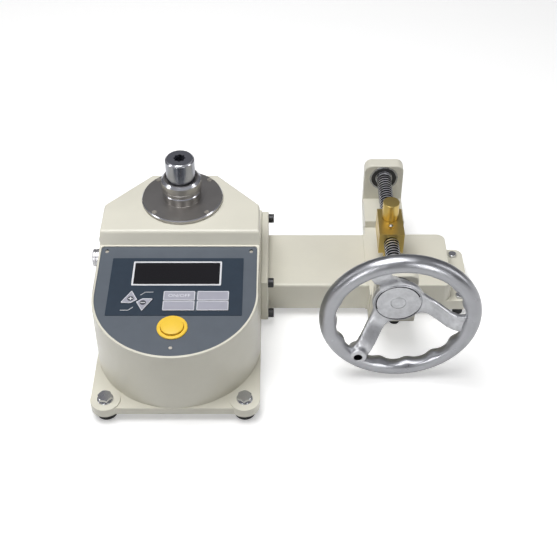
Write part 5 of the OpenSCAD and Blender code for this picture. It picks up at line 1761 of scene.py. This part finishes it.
@dataclass
class Carriage(OnScrew):
    """The brass nut block with its post, lock screw and oiler.

    Attributes:
        nut_w: Width of the block.
        rise: Height of the block's top over the screw's axis.
        back: Distance of the block's back from the spindle.
        post_y: Place of the post along the screw.
        post_r: Radius of the post.
        post_h: Height of the post.
        lock_y: How far the lock screw lies before the block's back.
        lock_drop: How far it lies below the screw's axis.
        oiler_y: How far the oiler lies before the block's back.
        bore_clear: How near the axis edges stay sharp.
        rod_clear: How near the guide rod they do.
        post_clear: How near the post they do, across.
        post_span: Where they do near the post, along.
        oiler_clear: How near the oiler they do.
        lock_clear: How near the lock screw they do.
        lock: The lock screw.
    """

    nut_w: float = 26.5
    rise: float = 12.1
    back: float = 4.4
    post_y: float = -9.0
    post_r: float = 8.8
    post_h: float = 20.5
    lock_y: float = 25.0
    lock_drop: float = 5.2
    oiler_y: float = 27.6
    bore_clear: float = 8.3
    rod_clear: float = 4.3
    post_clear: float = 9.5
    post_span: Flat = (-19.0, 1.5)
    oiler_clear: float = 3.0
    lock_clear: float = 3.5
    lock: Fastener = Fastener(8.5, 2.6, 2.5, 3.9)

    def build(self) -> None:
        """Makes the pieces that travel along the screw."""
        finish_node("nut_block", "nut_block_milled", BRASS, 0.7, 2, self._plain_edge,
                    body="carriage")
        top = self.z + self.rise
        post = bmesh.new()
        r, h = self.post_r, self.post_h
        turned(post, [(0, -2.15), (r - 0.65, -2.15), (r - 0.65, 0.35), (r, 0.35), (r, h - 0.55),
                      (r - 0.2, h - 0.2), (r - 0.6, h), (0, h)],
               standing(self.x, self.post_y, top), 80)
        publish(post, "reaction_post_turned", [BRASS], "reaction_post", body="carriage")
        screw = bmesh.new()
        self.lock.cross_head(screw, pointing_left(
            self.x - self.nut_w / 2, self.back - self.lock_y, self.z - self.lock_drop))
        publish(screw, "side_lock_screw_turned", [BRASS, PAINTED_SHADE], "side_lock_screw",
                body="carriage")
        oiler = bmesh.new()
        turned(oiler, [(0, -2.0), (2.2, -2.0), (2.2, 0.1), (1.9, 0.3), (1.3, 0.3), (1.15, 0.1),
                       (0.9, 0.3), (0.5, 0.45), (0, 0.5)],
               standing(self.x, self.back - self.oiler_y, top), 32)
        publish(oiler, "ball_oiler_plated", [GROUND_STEEL], "ball_oiler",
                body="carriage")

    def _plain_edge(self, edge: Edge) -> bool:
        """Whether an edge belongs to the block's outside and not to a bore.

        Args:
            edge: The edge.

        Returns:
            True where the edge may be rounded.
        """
        for vert in edge.verts:
            c = vert.co
            aside, up, behind = abs(c.x - self.x), c.z - self.z, c.y - self.back
            near_bore = (self.from_axis(c) < self.bore_clear
                         or self.from_axis(c, self.rod_drop) < self.rod_clear)
            near_post = (up > self.rise - 3 and aside < self.post_clear
                         and self.post_span[0] < c.y < self.post_span[1])
            near_oiler = up > 8 and max(aside, abs(behind + self.oiler_y)) < self.oiler_clear
            near_lock = aside > self.nut_w / 2 - 5 and max(
                abs(behind + self.lock_y), abs(up + self.lock_drop)) < self.lock_clear
            if near_bore or near_post or near_oiler or near_lock:
                return False
        return True


@dataclass
class Handwheel(OnScrew):
    """The polished handwheel: grooved rim, dished spokes, hub and the boss for a handle.

    Attributes:
        hub_back: Distance of the hub's back from the spindle.
        hub_len: Length of the hub.
        dish: How far the rim's middle stands before the hub's face.
        rim_mid: Radius of the rim's middle.
        rim_r: Radius of the rim's round.
        web_r: Radius of the web round the hub.
        face_r: Radius of the hub's face.
        spoke_w: Width of a spoke.
        spoke_t: Thickness of a spoke.
        angles: Directions of the spokes in degrees.
        grips: Number of finger grips.
        grip_depth: Depth of a grip.
        grip_way: Direction of the grips round the rim, in degrees.
        grip_half: Half of their reach round it, in degrees.
        flare_part: Share of a spoke's length that widens at each end.
        root_flare: How much a spoke widens into the hub.
        tip_flare: How much it widens into the rim.
        crown: How much thinner a spoke is at its sides.
        boss_at: Distance of the handle's boss from the axis.
        boss_r: Radius of that boss.
        hole_r: Radius of the handle's hole.
        skin: Step in which the joints grow together.
    """

    hub_back: float = 110.0
    hub_len: float = 19.3
    dish: float = 18.7
    rim_mid: float = 71.0
    rim_r: float = 9.0
    web_r: float = 26.0
    face_r: float = 24.2
    spoke_w: float = 19.0
    spoke_t: float = 7.0
    angles: tuple[float, float, float] = (112.0, 232.0, 352.0)
    grips: int = 15
    grip_depth: float = 2.6
    grip_way: float = -150.0
    grip_half: float = 75.0
    flare_part: float = 0.28
    root_flare: float = 0.55
    tip_flare: float = 0.35
    crown: float = 0.16
    boss_at: float = 64.0
    boss_r: float = 9.3
    hole_r: float = 4.25
    skin: float = 0.85

    def build(self) -> None:
        """Makes the wheel as one casting and its screw."""
        spot = self._boss()
        bm = bmesh.new()
        for skin, part in enumerate((self._rim(), self._spider())):
            part = carve(part, self._handle_hole(spot))
            # Faces inside the handle's hole take the third slot: painted shade that makes the hole
            # look dark.
            for face in part.faces:
                away = (face.calc_center_median() - spot).xy.length
                face.material_index = 2 if away < self.hole_r + 0.15 else skin
            absorb(bm, part)
        place = self.along(-self.hub_back)
        bmesh.ops.transform(bm, matrix=place, verts=bm.verts)
        publish(bm, "handwheel_polished", [POLISHED, CAST_ALLOY, PAINTED_SHADE],
                "handwheel", body="screw", degrees=45, weighted=False)
        hub = self._hub()
        bmesh.ops.transform(hub, matrix=place, verts=hub.verts)
        publish(hub, "handwheel_hub", [POLISHED, CAST_ALLOY, PAINTED_SHADE],
                "handwheel", body="screw", degrees=20)
        screw = bmesh.new()
        turned(screw, [(0, -14.5), (2.6, -14.5), (3.0, -14.1), (3.0, -3.45), (7.4, -3.45),
                       (7.4, -0.45), (7.15, -0.15), (6.9, -0.1), (0, -0.1)],
               self.along(-self.hub_back - self.hub_len), 64)
        publish(screw, "wheel_screw_cap", [CAST_ALLOY], "wheel_screw",
                body="screw")
        dress("wheel_key", BLACKED)

    def _boss(self) -> Vector:
        """Middle of the handle's boss."""
        angle = math.radians(self.angles[1])
        return Vector((self.boss_at * math.cos(angle), self.boss_at * math.sin(angle), 0.0))

    def _rim(self) -> Mesh:
        """The round rim with finger grips on its inner back.

        Returns:
            The rim.
        """
        bm = bmesh.new()
        bmesh.ops.create_circle(bm, radius=self.rim_r, segments=36,
                                matrix=facing(self.rim_mid, 0, 0))
        bmesh.ops.spin(bm, geom=bm.verts[:] + bm.edges[:], cent=(0, 0, 0), axis=(0, 0, 1),
                       dvec=(0, 0, 0), angle=math.tau, steps=360, use_merge=True)
        bmesh.ops.remove_doubles(bm, verts=bm.verts, dist=0.0005)
        first = math.radians(self.angles[0])
        for vert in bm.verts:
            around = math.atan2(vert.co.y, vert.co.x)
            flat = math.hypot(vert.co.x, vert.co.y) - self.rim_mid
            tube = math.atan2(vert.co.z, flat)
            away = abs((tube - math.radians(self.grip_way) + math.pi) % math.tau - math.pi)
            part = min(away / math.radians(self.grip_half), 1.0)
            share = max(0.0, math.cos(part * math.pi / 2)) ** 0.8
            wave = 0.5 + 0.5 * math.cos(self.grips * (around - first))
            pull = self.grip_depth * share * (1.0 - wave ** 1.6)
            radius = self.rim_r - pull
            out = self.rim_mid + radius * math.cos(tube)
            vert.co = (out * math.cos(around), out * math.sin(around), radius * math.sin(tube))
        bmesh.ops.recalc_face_normals(bm, faces=bm.faces)
        bmesh.ops.translate(bm, vec=(0, 0, self.hub_len + self.dish), verts=bm.verts)
        return bm

    def _spoke(self, degrees: float) -> Mesh:
        """One dished spoke that widens into the hub and the rim.

        Args:
            degrees: Direction of the spoke.

        Returns:
            The spoke.
        """
        bm = bmesh.new()
        root, tip = self.face_r - 4.0, self.rim_mid - 2.0
        w, h = self.spoke_w / 2, self.spoke_t / 2
        box_block(bm, (root, -w, -h), (tip, w, h))
        long_edges = [e for e in bm.edges if abs(e.verts[0].co.x - e.verts[1].co.x) > 10]
        bmesh.ops.subdivide_edges(bm, edges=long_edges, cuts=30, use_grid_fill=True)
        across = [e for e in bm.edges if abs(e.verts[0].co.y - e.verts[1].co.y) > 10]
        bmesh.ops.subdivide_edges(bm, edges=across, cuts=6, use_grid_fill=True)
        low = self.hub_len - 4.0
        high = self.hub_len + self.dish
        for vert in bm.verts:
            t = min(1.0, max(0.0, (vert.co.x - root) / (tip - root)))
            bend = min(1.0, max(0.0, (t - 0.08) / 0.72))
            rise = bend * bend * (3 - 2 * bend)
            flare = (1.0 + self.root_flare * max(0.0, 1 - t / self.flare_part) ** 2
                     + self.tip_flare * max(0.0, 1 - (1 - t) / self.flare_part) ** 2)
            edge = abs(vert.co.y) / w
            crown = 1.0 - self.crown * edge ** 4
            vert.co.y *= flare
            vert.co.z = vert.co.z * crown + low + rise * (high - low)
        bmesh.ops.rotate(bm, cent=(0, 0, 0), matrix=Matrix.Rotation(math.radians(degrees), 3, "Z"),
                         verts=bm.verts)
        bmesh.ops.recalc_face_normals(bm, faces=bm.faces)
        return bm

    def _spider(self) -> Mesh:
        """Web, spokes and handle boss, grown together with a caster's soft fillets.

        Returns:
            The spider, still without its hole.
        """
        bm = bmesh.new()
        turned(bm, [(0, self.hub_len - 8.0), (self.web_r - 0.6, self.hub_len - 8.0),
                    (self.web_r, self.hub_len - 7.2), (self.web_r, self.hub_len - 1.8),
                    (self.web_r - 0.8, self.hub_len - 1.0), (0, self.hub_len - 1.0)],
               HERE, 96)
        for degrees in self.angles:
            absorb(bm, self._spoke(degrees))
        spot = Matrix.Translation(self._boss())
        face = self.hub_len + self.dish + self.rim_r
        turned(bm, [(0, face - 17), (self.boss_r - 1.2, face - 17), (self.boss_r, face - 15.5),
                    (self.boss_r, face - 1.6), (self.boss_r - 1.4, face - 0.4), (0, face - 0.4)],
               spot, 64)
        return self._grown_together(bm)

    def _handle_hole(self, spot: Vector) -> Mesh:
        """The open hole for a handle, through the boss and the rim behind it.

        Args:
            spot: The hole's middle.

        Returns:
            The hole as a solid.
        """
        face = self.hub_len + self.dish + self.rim_r
        tool = bmesh.new()
        turned(tool, [(0, face - 30), (self.hole_r, face - 30), (self.hole_r, face - 0.9),
                      (self.hole_r + 0.9, face + 0.4), (0, face + 0.4)],
               Matrix.Translation(spot), 48)
        return tool

    def _grown_together(self, bm: Mesh) -> Mesh:
        """Merges overlapping solids into one skin and smooths the joints.

        Args:
            bm: The overlapping solids, which are freed.

        Returns:
            The single skin.
        """
        thing = hang_mesh("spider_held", bm)
        modifier = thing.modifiers.new("skin", "REMESH")
        modifier.mode = "VOXEL"
        modifier.voxel_size = self.skin
        out = settled(thing)
        for _ in range(6):
            bmesh.ops.smooth_vert(out, verts=out.verts, factor=0.5, use_axis_x=True,
                                  use_axis_y=True, use_axis_z=True)
        return out

    def _hub(self) -> Mesh:
        """The hub's barrel and its round face.

        Returns:
            The hub, with its faces sorted by finish and its groove and outer wall painted dark as
            shade.
        """
        bm = bmesh.new()
        z, r = self.hub_len, self.face_r
        turned(bm, [(6.05, 0), (16.6, 0), (17.0, 0.4), (17.0, z - 7.0), (r, z - 4.0), (r, z - 0.9),
                    (r - 0.3, z - 0.3), (r - 0.8, z), (r - 1.2, z), (r - 1.4, z - 0.9),
                    (r - 2.3, z - 0.9), (r - 2.5, z - 0.05), (7.75, z - 0.05), (7.55, z - 0.25),
                    (7.55, z - 3.5), (6.05, z - 3.5), (6.05, 0)], HERE, 128)
        paint(bm, 1, lambda radius, height, rise: radius < r - 2.0)
        # The groove and the outer wall take the third slot: painted shade, a dark outline round the
        # face.
        paint(bm, 2, lambda radius, height, rise: r - 2.5 < radius < r - 1.2 and height > z - 1.5
              or radius > r - 0.1 and height > z - 5)
        return bm


@dataclass(frozen=True)
class Lamp:
    """One soft lamp of the studio.

    Attributes:
        name: Name of the lamp.
        place: Where it stands, in the drawing's millimetres.
        target: What it looks at, in the same.
        width: Width of its panel.
        depth: Height of its panel.
        watts: Its power.
        shine_only: Whether it only shows in glossy surfaces.
    """

    name: str
    place: Point
    target: Point
    width: float
    depth: float
    watts: float
    shine_only: bool = False

    def build(self) -> None:
        """Hangs the lamp."""
        data = bpy.data.lights.new(self.name, "AREA")
        data.shape = "RECTANGLE"
        data.size = self.width * MM
        data.size_y = self.depth * MM
        data.energy = self.watts
        lamp = hang(self.name, data)
        lamp.location = to_part(self.place)
        aim = to_part(self.target) - lamp.location
        lamp.rotation_euler = aim.to_track_quat("-Z", "Y").to_euler()
        lamp.visible_diffuse = not self.shine_only


@dataclass
class Studio:
    """Floor, lights and the camera at the photograph's angle.

    Attributes:
        camera: Where the camera stands, in the drawing's millimetres.
        pitch: How far it is raised from looking straight down, in degrees.
        lens: Its focal length.
        floor_gain: Light that the floor adds where the camera sees it.
        floor_dim: How much less of that shows in reflections.
        surround: Strength of the plain light from all round.
        mirror_low: What reflections show of the surroundings near the ground.
        mirror_high: What they show of them overhead.
        lamps: The lamps.
    """

    camera: Point = (102.5, -878.1, 821.2)
    pitch: float = 46.77
    lens: float = 68.02
    floor_gain: float = 0.4
    floor_dim: float = 0.22
    surround: float = 0.06
    mirror_low: Colour = (0.10, 0.10, 0.11, 1.0)
    mirror_high: Colour = (0.27, 0.27, 0.285, 1.0)
    lamps: tuple[Lamp, ...] = (
        Lamp("key_softbox", (-150, -140, 1500), (100, -60, 60), 1100, 900, 20.6),
        Lamp("front_left_strip", (-520, -1300, 520), (20, -60, 100), 200, 800, 5.0, True),
        Lamp("front_right_strip", (760, -1250, 520), (60, -60, 100), 200, 800, 4.4, True),
        Lamp("left_fill", (-1100, -250, 650), (80, -60, 90), 250, 900, 1.9),
        Lamp("right_fill", (1250, -150, 600), (120, -60, 90), 300, 900, 2.3),
    )

    def build(self) -> None:
        """Makes the floor, the world, the lamps and the camera."""
        self._floor()
        self._world()
        for lamp in self.lamps:
            lamp.build()
        data = bpy.data.cameras.new("photo_camera")
        data.lens = self.lens
        data.sensor_width = 36.0
        data.sensor_fit = "HORIZONTAL"
        data.clip_start = 0.01
        data.clip_end = 50.0
        camera = hang("photo_camera", data)
        camera.location = to_part(self.camera)
        camera.rotation_euler = (math.radians(self.pitch), 0.0, 0.0)
        bpy.context.scene.camera = camera
        bpy.context.scene.view_settings.view_transform = "Standard"

    def _rays(self, tree: Tree) -> Socket:
        """One for rays that show the background: camera, glossy and transmission rays.

        Args:
            tree: The material's nodes.

        Returns:
            One for such rays, and zero for others.
        """
        path = add_node(tree, "LightPath").outputs
        seen = path["Is Camera Ray"]
        for ray in ("Is Glossy Ray", "Is Transmission Ray"):
            seen = add_node(tree, "Math", {0: seen, 1: path[ray]}, operation="MAXIMUM").outputs[0]
        return seen

    def _floor(self) -> None:
        """A plain pale floor that keeps the shadow."""
        bm = bmesh.new()
        bmesh.ops.create_grid(bm, x_segments=1, y_segments=1, size=6.0)
        floor = hang_mesh("studio_floor", bm)
        made = bpy.data.materials.new("floor_white")
        made.use_nodes = True
        tree = made.node_tree
        tree.nodes.clear()
        gain = add_node(tree, "Math", {0: self._rays(tree), 1: self.floor_gain},
                        operation="MULTIPLY")
        glossy = add_node(tree, "LightPath").outputs["Is Glossy Ray"]
        strength = add_node(tree, "Math", {0: glossy, 1: -self.floor_dim, 2: gain.outputs[0]},
                            operation="MULTIPLY_ADD")
        matt = add_node(tree, "BsdfDiffuse", {"Color": (0.86, 0.86, 0.86, 1.0)})
        glow = add_node(tree, "Emission", {"Color": WHITE, "Strength": strength.outputs[0]})
        both = add_node(tree, "AddShader", {0: matt.outputs[0], 1: glow.outputs[0]})
        add_node(tree, "OutputMaterial", {"Surface": both.outputs[0]})
        floor.data.materials.append(made)

    def _world(self) -> None:
        """Plain soft surroundings, white where the camera sees them."""
        world = bpy.data.worlds.new("studio_world")
        bpy.context.scene.world = world
        world.use_nodes = True
        tree = world.node_tree
        tree.nodes.clear()
        soft = add_node(tree, "Background", {"Color": WHITE, "Strength": self.surround})
        sky = add_node(tree, "TexCoord").outputs["Generated"]
        rise = add_node(tree, "SeparateXYZ", {"Vector": sky}).outputs["Z"]
        mirrored = add_ramp(tree, rise, ((0.05, self.mirror_low), (0.75, self.mirror_high)))
        glossy = add_node(tree, "LightPath").outputs["Is Glossy Ray"]
        pick = add_node(tree, "MixRGB", {"Fac": glossy, "Color1": WHITE, "Color2": mirrored})
        seen = add_node(tree, "Background", {"Color": pick.outputs["Color"], "Strength": 1.0})
        mix = add_node(tree, "MixShader", {"Fac": self._rays(tree), 1: soft.outputs[0],
                                           2: seen.outputs[0]})
        add_node(tree, "OutputWorld", {"Surface": mix.outputs[0]})


def main() -> None:
    """Builds the tester piece by piece."""
    logging.basicConfig(level=logging.INFO, format="%(name)s %(message)s")
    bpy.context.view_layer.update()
    builders = (Studio(), Base(), Casting(), Panel(), StartButton(), Spindle(), SideFittings(),
                Arm(), Loader(), Carriage(), Handwheel())
    for builder in builders:
        LOG.info("building %s", type(builder).__name__)
        builder.build()


if __name__ == "__main__":
    main()
